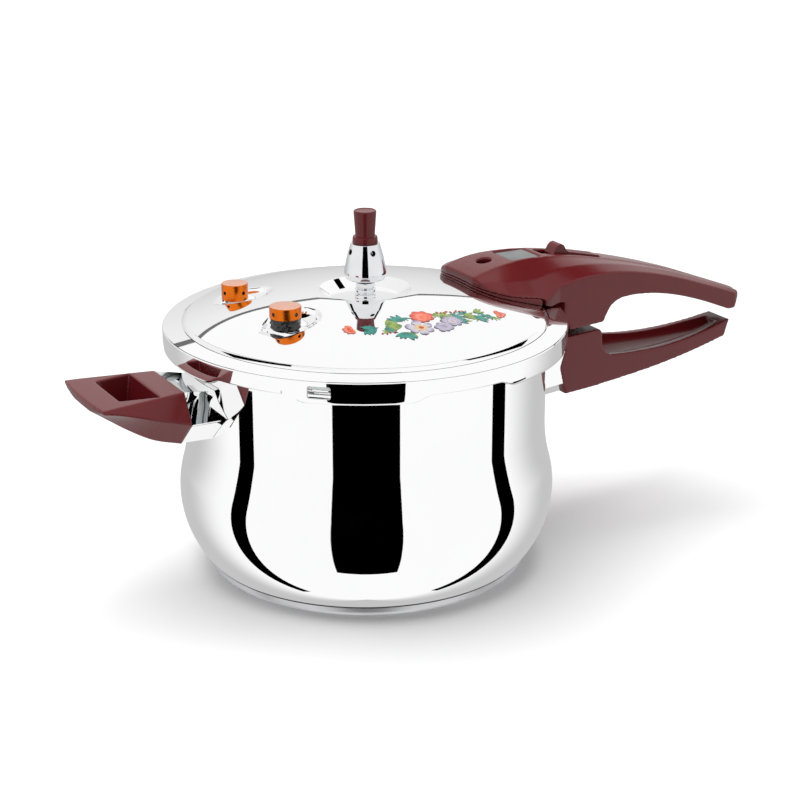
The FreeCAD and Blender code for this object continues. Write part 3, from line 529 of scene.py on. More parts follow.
def spun_finish(name, base, centre):
    """Anodised aluminium whose end face keeps the rings left by the lathe; faces that look upwards are painted a
    paler pink, a painted sheen.
    """
    material = surface(name, base, 1.0, 0.27, 0.03, patch=120.0, relief=0.008, Coat_Weight=0.1)
    tree = material.node_tree
    principled = [made for made in tree.nodes if made.type == "BSDF_PRINCIPLED"][0]
    first_bump = [made for made in tree.nodes if made.type == "BUMP"][0]
    where = add(tree, "ShaderNodeTexCoord").outputs["Object"]
    own = add(tree, "ShaderNodeMapping", {
        "Vector": where, "Location": (-centre[0] * MM, -centre[1] * MM, 0.0), "Scale": (1.0, 1.0, 0.0)}).outputs[0]
    out = add(tree, "ShaderNodeVectorMath", {0: own}, operation="LENGTH").outputs["Value"]
    turns = maths(tree, "MULTIPLY", out, 9000.0)
    rings = add(tree, "ShaderNodeTexNoise", {"W": turns, "Scale": 1.0, "Detail": 1.0},
                noise_dimensions="1D").outputs[0]
    up = add(tree, "ShaderNodeSeparateXYZ", {0: add(tree, "ShaderNodeNewGeometry").outputs["Normal"]}).outputs[2]
    face = add(tree, "ShaderNodeMapRange", {"Value": up, "From Min": 0.8, "From Max": 0.98}).outputs[0]
    groove = add(tree, "ShaderNodeBump", {
        "Height": maths(tree, "MULTIPLY", rings, face), "Strength": 0.05, "Distance": 0.0001,
        "Normal": first_bump.outputs[0]})
    tree.links.new(groove.outputs[0], principled.inputs["Normal"])
    # painted sheen: faces that look upwards are mixed towards pale pink, standing in for the sheen on the lit end
    # face
    painted_sheen = add(tree, "ShaderNodeMix", data_type="RGBA")
    tree.links.new(face, painted_sheen.inputs[0])
    tree.links.new(principled.inputs["Base Color"].links[0].from_socket, painted_sheen.inputs[6])
    painted_sheen.inputs[7].default_value = (0.95, 0.50, 0.36, 1.0)
    tree.links.new(painted_sheen.outputs[2], principled.inputs["Base Color"])
    return material


rubber = surface("black_silicone", (0.006, 0.006, 0.007), 0.0, 0.16, 0.1, patch=150.0, scratch=700.0, relief=0.15,
                 Specular_IOR_Level=0.6)
CAPS = {"safety": (9.5, 6.4, 7.7, 14.7, 11.0, 9.0), "relief": (8.2, 5.4, 1.8, 12.0, 6.8, 4.6)}
for valve, (cap_radius, stem_radius, low, high, holes, seat) in CAPS.items():
    x, y, floor, _ = VALVES[valve]
    orange = spun_finish("orange_anodised_" + valve, (0.80, 0.17, 0.008), (x, y))
    cap = turned(valve + "_cap", rounded([
        (stem_radius + 0.05, low), (cap_radius, low, 0.3), (cap_radius, high, 0.5), (0.0, high), (0.0, high - 1.2),
        (cap_radius - 1.3, high - 1.2, 0.3), (cap_radius - 1.3, seat, 0.2), (stem_radius + 0.05, seat, 0.1),
        (stem_radius + 0.05, low)], steps=5), orange, segments=96, at=(x, y, floor))
    carved(cap, dark_tools(side_drills(4, 17.0, 1.2, cap_radius - 3.0, cap_radius + 2.0, (x, y), floor + holes)),
           solver="EXACT")
    finished(cap, 35.0)
    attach(cap, "lid")
    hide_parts(valve + "_valve_cap")
    for part in ("body", "nut"):
        finish_cad("%s_valve_%s" % (valve, part), steel)
    for part in ("needle", "spring"):
        finish_cad("%s_valve_%s" % (valve, part), steel)

boot = turned("silicone_boot", rounded([
    (7.25, 0.4), (7.9, 0.4, 0.2), (9.1, 2.0, 0.4), (8.5, 3.0, 0.5), (9.15, 4.3, 0.5), (8.7, 5.5, 0.5),
    (9.25, 6.7, 0.5), (9.1, 7.65, 0.3), (6.5, 7.65, 0.1), (6.5, 1.9), (7.25, 1.7), (7.25, 0.4)], steps=4),
    rubber, segments=128, at=(-67.0, -26.0, 165.0))
for vertex in boot.data.vertices:
    spot = vertex.co / MM
    angle = math.atan2(spot.y + 26.0, spot.x + 67.0)
    if math.hypot(spot.x + 67.0, spot.y + 26.0) > 8.0 and spot.z > 166.5:
        fold = 0.22 * math.sin(7 * angle + 0.9 * spot.z) + 0.14 * math.sin(12 * angle - 1.7 * spot.z)
        vertex.co.x += fold * math.cos(angle) * MM
        vertex.co.y += fold * math.sin(angle) * MM
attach(boot, "lid")
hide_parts("safety_valve_boot")

# ------------------------------------------------------------------ upper handle
# Moulded in burgundy bakelite in two shells: a base that beds on the dome and a long cover above it,
# parted by a thin shadow line. A steel bracket spot-welded to the lid runs inside and takes the screw.


def blank(name, verts, faces):
    """A closed working solid from points in millimetres."""
    mesh = bpy.data.meshes.new(name)
    mesh.from_pydata([(x * MM, y * MM, z * MM) for x, y, z in verts], [], faces)
    thing = bpy.data.objects.new(name, mesh)
    bpy.context.scene.collection.objects.link(thing)
    return finished(thing)


def prism(name, outline, axis, low, high):
    """An outline pushed along an axis: "y" takes (x, z) corners and "z" takes (x, y)."""
    verts = []
    for depth in (low, high):
        verts += [(a, depth, b) if axis == "y" else (a, b, depth) for a, b in outline]
    count = len(outline)
    sides = [(n, (n + 1) % count, count + (n + 1) % count, count + n) for n in range(count)]
    return blank(name, verts, sides + [tuple(range(count)), tuple(range(count, 2 * count))])


def block(name, x, y, z):
    return prism(name, [(x[0], z[0]), (x[1], z[0]), (x[1], z[1]), (x[0], z[1])], "y", y[0], y[1])


def smooth_run(stations, count):
    """Values at even steps along stations of (x, value, ...), joined by a smooth curve."""
    table = np.array(stations, float)
    xs = np.linspace(table[0, 0], table[-1, 0], count)
    slopes = np.gradient(table, table[:, 0], axis=0)
    rows = []
    for x in xs:
        k = min(np.searchsorted(table[:, 0], x, side="right") - 1, len(table) - 2)
        width = table[k + 1, 0] - table[k, 0]
        t = (x - table[k, 0]) / width
        rows.append((2 * t ** 3 - 3 * t ** 2 + 1) * table[k] + (t ** 3 - 2 * t ** 2 + t) * width * slopes[k]
                    + (-2 * t ** 3 + 3 * t ** 2) * table[k + 1] + (t ** 3 - t ** 2) * width * slopes[k + 1])
    return np.array(rows)


def loft(name, rings):
    """A closed solid through rings with the same number of points."""
    count = len(rings[0])
    verts = [point for ring in rings for point in ring]
    faces = []
    for level in range(len(rings) - 1):
        for n in range(count):
            after = (n + 1) % count
            faces.append((level * count + n, level * count + after, (level + 1) * count + after,
                          (level + 1) * count + n))
    faces.append(tuple(range(count)))
    faces.append(tuple(range((len(rings) - 1) * count, len(rings) * count)))
    return blank(name, verts, faces)


def moulded(thing, grain, passes, finish, body, slot_name, *nodes):
    """Gives a working solid the soft edges of a moulding, its finish and its place in the frame."""
    remesh = thing.modifiers.new("moulding", "REMESH")
    remesh.mode = "VOXEL"
    remesh.voxel_size = grain * MM
    soften = thing.modifiers.new("soften", "SMOOTH")
    soften.factor = 0.5
    soften.iterations = passes
    plain(thing)
    thing.data.materials.clear()
    thing.data.materials.append(finish)
    finished(thing, 60.0)
    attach(thing, body)
    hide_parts(*nodes)
    return thing


# half widths of the flat top and of the crease, each with its height, along the handle
COVER = [
    (64.0, 17.5, 175.2, 24.0, 170.2), (75.0, 17.8, 178.8, 36.0, 168.6), (90.0, 16.6, 181.6, 41.5, 165.0),
    (106.0, 14.2, 182.4, 41.5, 161.2), (124.0, 12.2, 181.6, 35.2, 167.0), (145.0, 10.0, 178.6, 31.3, 169.8),
    (171.0, 8.0, 173.2, 27.4, 168.3), (198.0, 6.4, 166.4, 23.4, 163.0), (226.0, 5.4, 158.2, 19.3, 154.9),
    (252.0, 4.6, 148.6, 15.4, 145.8), (290.0, 4.0, 134.2, 10.2, 131.2),
]
PLAN = [(66.3, 16.0), (67.6, 23.0), (70.5, 29.5), (75.0, 35.5), (82.0, 39.3), (92.0, 41.4), (103.0, 42.0),
        (111.0, 39.4), (120.0, 35.0), (200.0, 23.2), (280.0, 12.0), (284.0, 9.5)]
plan = PLAN + [(x, -y) for x, y in reversed(PLAN)]


def cover_ring(x, top_half, top, crease_half, crease):
    """One cross-section of the cover: a level top, a full shoulder and the crease that the plan trims."""
    bulge = (0.5 * (top_half + crease_half) + 0.6, 0.5 * (top + crease) + 1.0)
    half = [(0.0, top + 0.25), (top_half * 0.6, top + 0.2), (top_half, top), (top_half + 0.9, top - 0.7),
            bulge, (crease_half, crease), (crease_half + 7.0, crease - 2.6), (crease_half + 7.0, 90.0)]
    ring = half + [(-y, z) for y, z in reversed(half[1:])]
    return [(x, y, z) for y, z in ring]


def dome_block(name, offset, reach, aside=0.0):
    """A cap of the lid's dome, moved out by an offset and aside along the handle, as a cutter."""
    return turned(name, [(0.0, 100.0), (reach, 100.0)] + [
        (r, DOME_CENTRE + math.sqrt((DOME + offset) ** 2 - r ** 2)) for r in np.linspace(reach, 0.0, 40)],
        None, segments=192, at=(aside, 0.0, 0.0))


def seam_block(name, offset):
    """What lies below the parting seam, which rises above the dome from the handle's front to its shoulders."""
    room = block(name + "_room", (50, 106), (-60, 60), (150, 190))
    return carved(dome_block(name, offset, 130.0, aside=23.0), [room], operation="INTERSECT", solver="EXACT")


cover = loft("handle_cover", [cover_ring(*row) for row in smooth_run(COVER, 90)])
carved(cover, [
    prism("cover_plan", plan, "z", 80.0, 200.0),
    prism("cover_side", [
        (66.0, 150.0), (66.0, 200.0), (282.5, 200.0), (284.0, 133.4), (283.6, 131.0), (281.0, 125.6),
        (279.0, 124.6), (274.9, 124.5)] + [
        (x, z) for x, z in smooth_run([(274.9, 124.5), (246.1, 136.1), (226.8, 142.6), (205.3, 147.9),
                                       (189.8, 150.1), (180.0, 150.7), (173.8, 150.4)][::-1], 24)[::-1][1:]] + [
        (168.6, 148.9), (165.2, 146.9), (162.6, 144.0), (160.6, 140.6), (159.4, 137.9), (157.8, 137.0),
        (129.8, 137.0), (128.4, 141.4), (124.8, 147.4), (124.9, 156.7), (104.0, 156.7)], "y", -60.0, 60.0),
], operation="INTERSECT", solver="EXACT")
carved(cover, [
    seam_block("seam_cut", -1.9), dome_block("dome_cut", 0.15, 124.0),
    drill("rim_cut", 125.2, (0, 0, 100.0), (0, 0, 156.7), sides=256),
    drill("float_sight", 4.9, (85.0, 0, 150.0), (85.0, 0, 200.0), sides=48),
    block("window_recess", (97.9, 121.1), (-11.7, 11.7), (180.5, 190.0)),
    block("slider_slot", (125.0, 171.2), (-5.9, 5.9), (171.9, 195.0)),
    block("bracket_run", (76.0, 138.3), (-9.3, 9.3), (150.0, 163.9)),
    drill("screw_way", 4.6, (131.0, 0, 130.0), (131.0, 0, 145.2)),
    block("bolt_way", (143.2, 157.1), (-3.8, 3.8), (130.0, 172.2)),
    block("bolt_tunnel", (125.6, 157.1), (-3.8, 3.8), (166.6, 172.2)),
], solver="EXACT")
moulded(cover, 0.75, 8, bakelite, "lid", "burgundy_bakelite", "upper_handle_cover")

seat = prism("handle_seat", [(x, y * 0.99) for x, y in plan if x < 108.0], "z", 150.0, 190.0)
carved(seat, [seam_block("seam_keep", -1.96)], operation="INTERSECT", solver="EXACT")
carved(seat, [
    dome_block("dome_bed", 0.12, 124.0), block("bracket_bed", (75.9, 120.0), (-14.2, 14.2), (150.0, 163.8)),
    drill("float_well", 7.6, (85.0, 0, 150.0), (85.0, 0, 190.0), sides=48),
], solver="EXACT")
moulded(seat, 0.6, 5, bakelite, "lid", "burgundy_bakelite", "upper_handle_base")

grey = surface("grey_plate", (0.16, 0.17, 0.165), 0.0, 0.4, 0.15, patch=80.0, relief=0.05, Specular_IOR_Level=0.5)
plate = block("lock_window_plate", (99.4, 119.6), (-10.1, 10.1), (180.9, 181.45))
bevel = plate.modifiers.new("edge", "BEVEL")
bevel.width = 0.18 * MM
bevel.segments = 3
plain(plate)
plate.data.materials.append(grey)
finished(plate, 30.0)
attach(plate, "lid")
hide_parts("window_plate")

slider = prism("lock_slider_moulded", [
    (134.0, 172.2), (134.0, 179.6), (136.4, 183.8), (138.2, 185.4), (140.4, 185.8), (142.4, 184.6), (144.0, 181.4),
    (146.4, 179.9), (170.0, 174.6), (170.0, 172.2)], "y", -5.4, 5.4)
carved(slider, [
    prism("serration", [(x, z + 0.3), (x + 1.2, z - 1.3), (x + 2.1, z - 0.2)], "y", -4.3, 4.3)
    for x, z in [(148.5 + 2.6 * n, 179.6 - 0.585 * n) for n in range(7)]], solver="EXACT")
moulded(slider, 0.3, 3, bakelite, "slider", "burgundy_bakelite", "lock_slider")
finish_cad("lock_bolt", steel)
for name in ("lid_bracket", "handle_screw", "lock_spring", "float_seat"):
    finish_cad(name, steel)
finish_cad("float_pin", steel)
finish_cad("float_ring", rubber)

# ------------------------------------------------------------------ lower handle
# The pot's own grip, moulded in the same bakelite, screwed to a steel tongue that is welded to the neck.
# Its upper face is hollowed into a trough, and a flared steel ferrule hides the joint with the pot.

grip_top = smooth_run([(166.9, 113.3), (180.0, 111.7), (195.0, 110.6), (212.0, 109.8), (229.0, 110.3),
                       (248.0, 112.2), (263.0, 114.6), (276.5, 117.4)], 24)
grip_bottom = smooth_run([(127.5, 94.2), (150.0, 94.3), (175.0, 95.2), (211.0, 97.4), (248.6, 101.9),
                          (272.0, 105.9)], 24)
grip_root = [(122.2, 113.0), (126.3, 123.7), (124.8, 132.4), (156.3, 132.4), (158.1, 130.4), (159.0, 121.4),
             (160.4, 118.2), (163.0, 115.2)]
grip = prism("grip", grip_root + [tuple(row) for row in grip_top]
             + [tuple(row) for row in reversed(grip_bottom)], "y", -40.0, 40.0)


def scoop(x, half, floor, top):
    """One cross-section of the trough: a round-bottomed channel that is open at the top."""
    ring = [(half * math.cos(a), floor + 9.0 - 9.0 * math.sin(a)) for a in np.linspace(0.0, math.pi, 15)]
    return [(x, half + 0.3, top)] + [(x, y, z) for y, z in ring] + [(x, -half - 0.3, top)]


grip_plan = [(115.0, 35.4), (277.0, 11.4), (277.0, -11.4), (115.0, -35.4)]
carved(grip, [prism("grip_plan", grip_plan, "z", 80.0, 140.0)], operation="INTERSECT", solver="EXACT")
carved(grip, [
    loft("trough", [scoop(*row) for row in smooth_run([
        (164.0, 23.2, 106.5, 119.0), (172.0, 22.6, 103.6, 120.0), (200.0, 18.2, 103.4, 122.0),
        (235.0, 13.0, 105.4, 124.0), (258.0, 9.6, 108.3, 126.0), (269.0, 7.6, 112.5, 128.0)], 30)]),
    block("tongue_way", (120.0, 150.3), (-9.3, 9.3), (107.7, 120.3)),
    drill("screw_sink", 4.6, (140.0, 0, 90.0), (140.0, 0, 98.0)),
], solver="EXACT")
moulded(grip, 0.75, 8, bakelite, "pot", "burgundy_bakelite", "lower_handle")
for name in ("lower_handle_bracket", "lower_handle_screw", "lock_catch", "helper_bracket", "helper_screw"):
    finish_cad(name, steel)


def collar(name, stations, gauge, node):
    """A folded steel collar with crisp facets, between two outlines, trimmed to the pot's neck."""
    def rings(inward):
        made = []
        for x, half in stations:
            level = sum(z for _, z in half) / len(half)
            half = [(max(y - inward, 0.5), z + (inward if z < level else -inward)) for y, z in half]
            made.append([(x, y, z) for y, z in half + [(-y, z) for y, z in reversed(half)]])
        return made
    
    thing = loft(name, rings(0.0))
    hollow = loft(name + "_hollow", [[(x + longer, y, z) for x, y, z in ring]
                                     for longer, ring in zip((-0.6, 0.6), rings(gauge))])
    carved(thing, [hollow, drill(name + "_neck", 112.0, (0, 0, 60.0), (0, 0, 160.0), sides=256)], solver="EXACT")
    thing.data.materials.clear()
    thing.data.materials.append(polished)
    finished(thing, 12.0)
    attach(thing, "pot")
    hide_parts(node)
    return thing


collar("lower_ferrule", [(98.0, [(30.0, 131.0), (37.0, 122.0), (37.0, 101.0), (30.0, 93.5)]),
                        (128.0, [(27.0, 131.0), (33.0, 123.0), (33.0, 102.0), (27.0, 95.0)])], 1.5,
       "lower_handle_ferrule")

# ------------------------------------------------------------------ helper handle
# A short bakelite grip opposite the long one, hollowed for the fingers, with six long facets and a
# rounded nose. It is screwed to a second tongue behind a polished ferrule.

HELPER = [
    (-190.0, 32.8, 135.6, 33.6, 134.9, 12.0, 133.6), (-176.0, 30.6, 136.0, 33.8, 132.6, 12.6, 123.8),
    (-163.0, 28.5, 136.0, 34.2, 129.0, 13.6, 114.8), (-150.0, 26.3, 136.0, 34.6, 124.8, 15.0, 107.4),
    (-131.2, 23.0, 136.0, 34.0, 119.0, 16.0, 101.5),
]


def helper_ring(x, top_half, top, side_half, side, bottom_half, bottom):
    """One cross-section of the short grip, six-sided."""
    half = [(top_half, top), (side_half, side), (bottom_half, bottom)]
    return [(x, y, z) for y, z in half + [(-y, z) for y, z in reversed(half)]]


helper = loft("helper_grip", [helper_ring(*row) for row in smooth_run(HELPER, 28)])
nose = [(-181.5 - 4.5 * math.cos(math.radians(a)), 40.0 * math.sin(math.radians(a))) for a in range(-90, 91, 10)]
carved(helper, [prism("helper_nose", [(-120.0, -40.0)] + nose + [(-120.0, 40.0)], "z", 90.0, 150.0)],
       operation="INTERSECT", solver="EXACT")
well_low = [(-150.5, -20.0, 114.5), (-150.5, 20.0, 114.5), (-165.5, 16.0, 121.5), (-165.5, -16.0, 121.5)]
well_high = [(-145.6, -25.3, 140.0), (-145.6, 25.3, 140.0), (-171.0, 20.5, 140.0), (-171.0, -20.5, 140.0)]
carved(helper, [
    loft("finger_well", [well_low, well_high]),
    block("helper_way", (-143.3, -125.0), (-9.3, 9.3), (110.7, 121.3)),
    drill("helper_sink", 4.6, (-137.0, 0, 95.0), (-137.0, 0, 106.5)),
], solver="EXACT")
moulded(helper, 0.6, 6, bakelite, "pot", "burgundy_bakelite", "helper_handle")
collar("helper_collar", [(-131.0, [(22.5, 135.5), (33.5, 119.0), (15.5, 102.0)]),
                         (-98.0, [(16.0, 130.0), (29.0, 117.0), (14.0, 100.5)])], 1.2, "helper_ferrule")

# ------------------------------------------------------------------ flower transfer
# A ceramic transfer fired on to the front of the dome: a loose spray of garden flowers with leaves and
# berries, raised above the steel by less than the thickness of paper.


def bloom_tree():
    """Flat petals set round a point: each is a leaf shape with its own turn and size."""
    tree = bpy.data.node_groups.new("Bloom", "GeometryNodeTree")
    sockets(tree, {
        "Geometry": ("Geometry", None), "Petals": ("Int", 6), "Length": ("Float", 0.006),
        "Width": ("Float", 0.004), "Blunt": ("Float", 0.6), "Turn": ("Float", 0.0),
        "Spread": ("Float", 6.2832), "Seed": ("Int", 1), "Finish": ("Material", None),
    }, {"Bloom": "Geometry"})
    given = add(tree, "NodeGroupInput").outputs
    petal = add(tree, "GeometryNodeMeshGrid", {"Size X": 1.0, "Size Y": 1.0, "Vertices X": 9, "Vertices Y": 7})
    spot = add(tree, "ShaderNodeSeparateXYZ", {0: add(tree, "GeometryNodeInputPosition").outputs[0]}).outputs
    along = maths(tree, "ADD", spot[0], 0.5)
    arch = maths(tree, "POWER", maths(tree, "SINE", maths(tree, "MULTIPLY", maths(tree, "POWER", along,
                 given["Blunt"]), math.pi)), 0.75)
    side = maths(tree, "MULTIPLY", maths(tree, "MULTIPLY", spot[1], arch), given["Width"])
    shaped = add(tree, "GeometryNodeSetPosition", {
        "Geometry": petal.outputs["Mesh"],
        "Position": add(tree, "ShaderNodeCombineXYZ", {
            0: maths(tree, "MULTIPLY", along, given["Length"]), 1: side}).outputs[0]})
    shade = add(tree, "GeometryNodeStoreNamedAttribute", {
        "Geometry": shaped.outputs[0], "Name": "tip",
        "Value": maths(tree, "DIVIDE", add(tree, "ShaderNodeSeparateXYZ", {
            0: add(tree, "GeometryNodeInputPosition").outputs[0]}).outputs[0], given["Length"])},
        data_type="FLOAT", domain="POINT")
    ring = add(tree, "GeometryNodePoints", {"Count": given["Petals"]})
    number = add(tree, "GeometryNodeInputIndex").outputs[0]
    jitter = add(tree, "FunctionNodeRandomValue", {"Min": -0.12, "Max": 0.12, "Seed": given["Seed"]},
                 data_type="FLOAT")
    size = add(tree, "FunctionNodeRandomValue", {"Min": 0.85, "Max": 1.1, "Seed": given["Seed"]},
               data_type="FLOAT")
    share = maths(tree, "DIVIDE", number, given["Petals"])
    turn = maths(tree, "ADD", maths(tree, "MULTIPLY_ADD", share, given["Spread"], given["Turn"]),
                 [made for made in jitter.outputs if made.type == "VALUE" and made.enabled][0])
    turns = add(tree, "ShaderNodeCombineXYZ", {2: turn})
    placed = add(tree, "GeometryNodeInstanceOnPoints", {
        "Points": ring.outputs[0], "Instance": shade.outputs[0], "Rotation": turns.outputs[0],
        "Scale": [made for made in size.outputs if made.type == "VALUE" and made.enabled][0]})
    real = add(tree, "GeometryNodeRealizeInstances", {0: placed.outputs[0]})
    done = add(tree, "GeometryNodeSetMaterial", {"Geometry": real.outputs[0], "Material": given["Finish"]})
    add(tree, "NodeGroupOutput", {"Bloom": done.outputs[0]})
    return tree


def enamel(name, root, tip, edge):
    """Fired colour that runs from the root of a petal to its tip, with a darker drawn edge."""
    material = surface(name, root, 0.0, 0.25, 0.1, patch=300.0, relief=0.03, Specular_IOR_Level=0.5)
    tree = material.node_tree
    principled = [made for made in tree.nodes if made.type == "BSDF_PRINCIPLED"][0]
    tint = add(tree, "ShaderNodeAttribute", attribute_name="tip").outputs["Fac"]
    where = add(tree, "ShaderNodeTexCoord").outputs["Object"]
    mottle = add(tree, "ShaderNodeTexNoise", {"Vector": where, "Scale": 900.0, "Detail": 2.0}).outputs[0]
    ramp = add(tree, "ShaderNodeValToRGB", {0: maths(tree, "MULTIPLY_ADD", mottle, 0.35,
                                                     maths(tree, "SUBTRACT", tint, 0.17))})
    ramp.color_ramp.elements[0].color = tuple(root) + (1.0,)
    ramp.color_ramp.elements[1].color = tuple(edge) + (1.0,)
    middle = ramp.color_ramp.elements.new(0.62)
    middle.color = tuple(tip) + (1.0,)
    tree.links.new(ramp.outputs[0], principled.inputs["Base Color"])
    return material


bloom = bloom_tree()
coral = enamel("enamel_coral", (0.75, 0.10, 0.05), (0.80, 0.22, 0.14), (0.35, 0.03, 0.03))
scarlet = enamel("enamel_scarlet", (0.80, 0.28, 0.10), (0.72, 0.09, 0.04), (0.30, 0.03, 0.02))
lilac = enamel("enamel_lilac", (0.45, 0.33, 0.20), (0.50, 0.46, 0.55), (0.16, 0.14, 0.22))
mauve = enamel("enamel_mauve", (0.30, 0.26, 0.36), (0.42, 0.38, 0.48), (0.10, 0.09, 0.15))
leaf = enamel("enamel_leaf", (0.06, 0.16, 0.03), (0.24, 0.33, 0.05), (0.04, 0.12, 0.04))
teal = enamel("enamel_teal", (0.02, 0.12, 0.10), (0.02, 0.25, 0.20), (0.01, 0.06, 0.06))
amber = enamel("enamel_amber", (0.62, 0.36, 0.05), (0.72, 0.50, 0.10), (0.40, 0.22, 0.03))
berry = enamel("enamel_berry", (0.55, 0.05, 0.02), (0.60, 0.10, 0.02), (0.30, 0.02, 0.01))
# place, petals, length, width, bluntness, turn, spread, finish; the order is from the bottom layer up
SPRAY = [
    (-34, -57, 4, 11.0, 3.4, 0.9, 2.6, 1.9, teal), (-30, -62, 4, 10.0, 3.0, 0.9, -0.9, 1.6, teal),
    (-26, -57, 3, 11.0, 3.4, 0.9, 0.2, 1.2, leaf), (-16, -60, 4, 12.0, 3.6, 0.9, 2.4, 1.6, leaf),
    (-18, -70, 5, 11.0, 4.2, 0.8, 3.4, 2.0, teal), (-12, -54, 4, 12.0, 3.4, 0.9, 1.6, 1.5, teal),
    (16, -58, 4, 13.0, 4.0, 0.9, -0.4, 1.5, leaf), (24, -63, 4, 12.0, 3.6, 0.9, -0.7, 1.4, teal),
    (34, -61, 4, 12.0, 3.2, 0.9, -0.5, 1.2, leaf), (42, -64, 4, 11.0, 3.0, 0.9, -1.0, 1.6, teal),
    (46, -58, 3, 10.0, 2.8, 0.9, 0.1, 1.1, leaf), (-42, -59, 4, 7.0, 2.6, 0.9, 4.2, 1.6, teal),
    (56, -63, 3, 8.0, 2.6, 0.9, 3.7, 1.2, teal),
    (-49, -55, 5, 7.6, 4.6, 1.4, 1.9, 3.0, coral), (-49, -55, 4, 4.8, 3.4, 1.3, 2.1, 2.6, scarlet),
    (63, -62, 5, 8.0, 4.8, 1.4, -1.3, 3.0, coral), (63, -62, 4, 5.0, 3.6, 1.3, -1.0, 2.6, scarlet),
    (4, -52, 8, 9.6, 6.2, 1.8, 0.2, 6.2832, scarlet), (4, -53, 7, 6.8, 4.4, 1.7, 0.6, 6.2832, coral),
    (5, -54, 5, 3.8, 3.0, 1.5, 0.1, 6.2832, scarlet), (22, -65, 7, 8.6, 5.4, 1.8, 0.0, 6.2832, mauve),
    (22, -65, 5, 4.6, 3.2, 1.6, 0.5, 6.2832, lilac), (12, -70, 7, 7.8, 5.0, 1.8, 0.3, 6.2832, mauve),
    (-5, -67, 6, 11.0, 7.2, 1.9, 0.4, 6.2832, lilac), (-5, -67, 6, 5.6, 1.5, 1.2, 0.9, 6.2832, amber),
    (-5, -67, 7, 2.2, 1.6, 1.2, 0.0, 6.2832, berry),
]
for step, (x, y) in enumerate([(-39, -59), (-27, -66), (-22, -62), (-14, -72), (-10, -49), (14, -50), (27, -57),
                               (31, -68), (38, -58), (45, -67), (52, -60), (57, -66)]):
    SPRAY.insert(0, (x, y, 5, 6.8, 1.7, 0.9, 0.9 * step, 2.6, leaf if step % 2 else teal))
for step in range(9):
    across, down = 18 + 2.6 * step, -49 - 1.1 * (step % 3) - 0.4 * step
    SPRAY.append((across, down, 6, 1.15, 1.0, 0.6, 0.4 * step, 6.2832, berry))
for step in range(4):
    SPRAY.append((-34 + 2.9 * step, -67 - 1.0 * (step % 2), 6, 1.0, 0.9, 0.6, 0.3 * step, 6.2832, berry))
pieces = []
for layer, (x, y, petals, length, width, blunt, turn, spread, paint) in enumerate(SPRAY):
    thing = grown("bloom_%d" % layer, bpy.data.meshes.new("seed"), bloom, {
        "Petals": petals, "Length": length * MM, "Width": width * MM, "Blunt": blunt, "Turn": turn,
        "Spread": spread, "Seed": layer, "Finish": paint})
    for vertex in thing.data.vertices:
        px = 0.84 * (vertex.co.x / MM + x) + 2.5
        py = 0.84 * (vertex.co.y / MM + y) - 10.5 - 5.5 * max(0.0, 1.0 - (x / 52.0) ** 2)
        lift = 0.05 + 0.006 * layer
        vertex.co = Vector((px, py, dome(math.hypot(px, py)) + lift)) * MM
    pieces.append(thing)
with bpy.context.temp_override(active_object=pieces[0], selected_editable_objects=pieces, selected_objects=pieces):
    bpy.ops.object.join()
flowers = pieces[0]
flowers.name = "flower_transfer"
for face in flowers.data.polygons:
    face.use_smooth = True
work = bmesh.new()
work.from_mesh(flowers.data)
bmesh.ops.remove_doubles(work, verts=work.verts, dist=0.0000005)
for face in work.faces:
    if face.normal.z < 0:
        face.normal_flip()
work.to_mesh(flowers.data)
work.free()
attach(flowers, "lid")

# ------------------------------------------------------------------ studio
# A pale floor under one very broad, high lamp, and dark flags that only polished metal sees, which draw the
# black bands that such a pot shows.

scene = bpy.context.scene
scene.view_settings.view_transform = "Standard"
AWAY = math.radians(28.0)
FRONT = Vector((-math.sin(AWAY), -math.cos(AWAY), 0.0))
RIGHT = Vector((math.cos(AWAY), -math.sin(AWAY), 0.0))


def stage_sheet(name, centre, across, up, width, height, finish):
    """A flat studio sheet, given in millimetres."""
    centre = Vector(centre)
    mesh = bpy.data.meshes.new(name)
    corners = [centre + across * width * a / 2 + up * height * b / 2
               for a, b in ((-1, -1), (1, -1), (1, 1), (-1, 1))]
    mesh.from_pydata([corner * MM for corner in corners], [], [(0, 1, 2, 3)])
    mesh.materials.append(finish)
    thing = bpy.data.objects.new(name, mesh)
    scene.collection.objects.link(thing)
    return thing


def glowing(name, strength):
    """A finish that only gives light, or none."""
    material = bpy.data.materials.new(name)
    material.use_nodes = True
    tree = material.node_tree
    tree.nodes.clear()
    light = add(tree, "ShaderNodeEmission", {"Color": (1, 1, 1, 1), "Strength": strength})
    add(tree, "ShaderNodeOutputMaterial", {"Surface": light.outputs[0]})
    return material


paper = bpy.data.materials.new("pale_paper")
paper.use_nodes = True
paper.node_tree.nodes["Principled BSDF"].inputs["Base Color"].default_value = (0.86, 0.86, 0.865, 1.0)
paper.node_tree.nodes["Principled BSDF"].inputs["Roughness"].default_value = 0.9
paper.node_tree.nodes["Principled BSDF"].inputs["Specular IOR Level"].default_value = 0.0
floor = stage_sheet("floor", (0, 0, -0.02), Vector((1, 0, 0)), Vector((0, 1, 0)), 30000.0, 30000.0, paper)
floor.visible_glossy = False

UP = Vector((0.0, 0.0, 1.0))
flag_black = glowing("flag_black", 0.0)


def flag(name, turn, distance, width, low, high):
    """An upright flag at a turn from the camera's side, facing the pot, that only mirrors see."""
    turn = math.radians(turn)
    out = FRONT * math.cos(turn) + RIGHT * math.sin(turn)
    across = UP.cross(out)
    return mirror_only(stage_sheet(name, out * distance + UP * (low + high) / 2, across, UP, width, high - low,
                                   flag_black))


def mirror_only(card):
    """Lets a studio card show in reflections and nowhere else."""
    card.visible_camera = False
    card.visible_diffuse = False
    card.visible_shadow = False
    card.visible_transmission = False
    return card


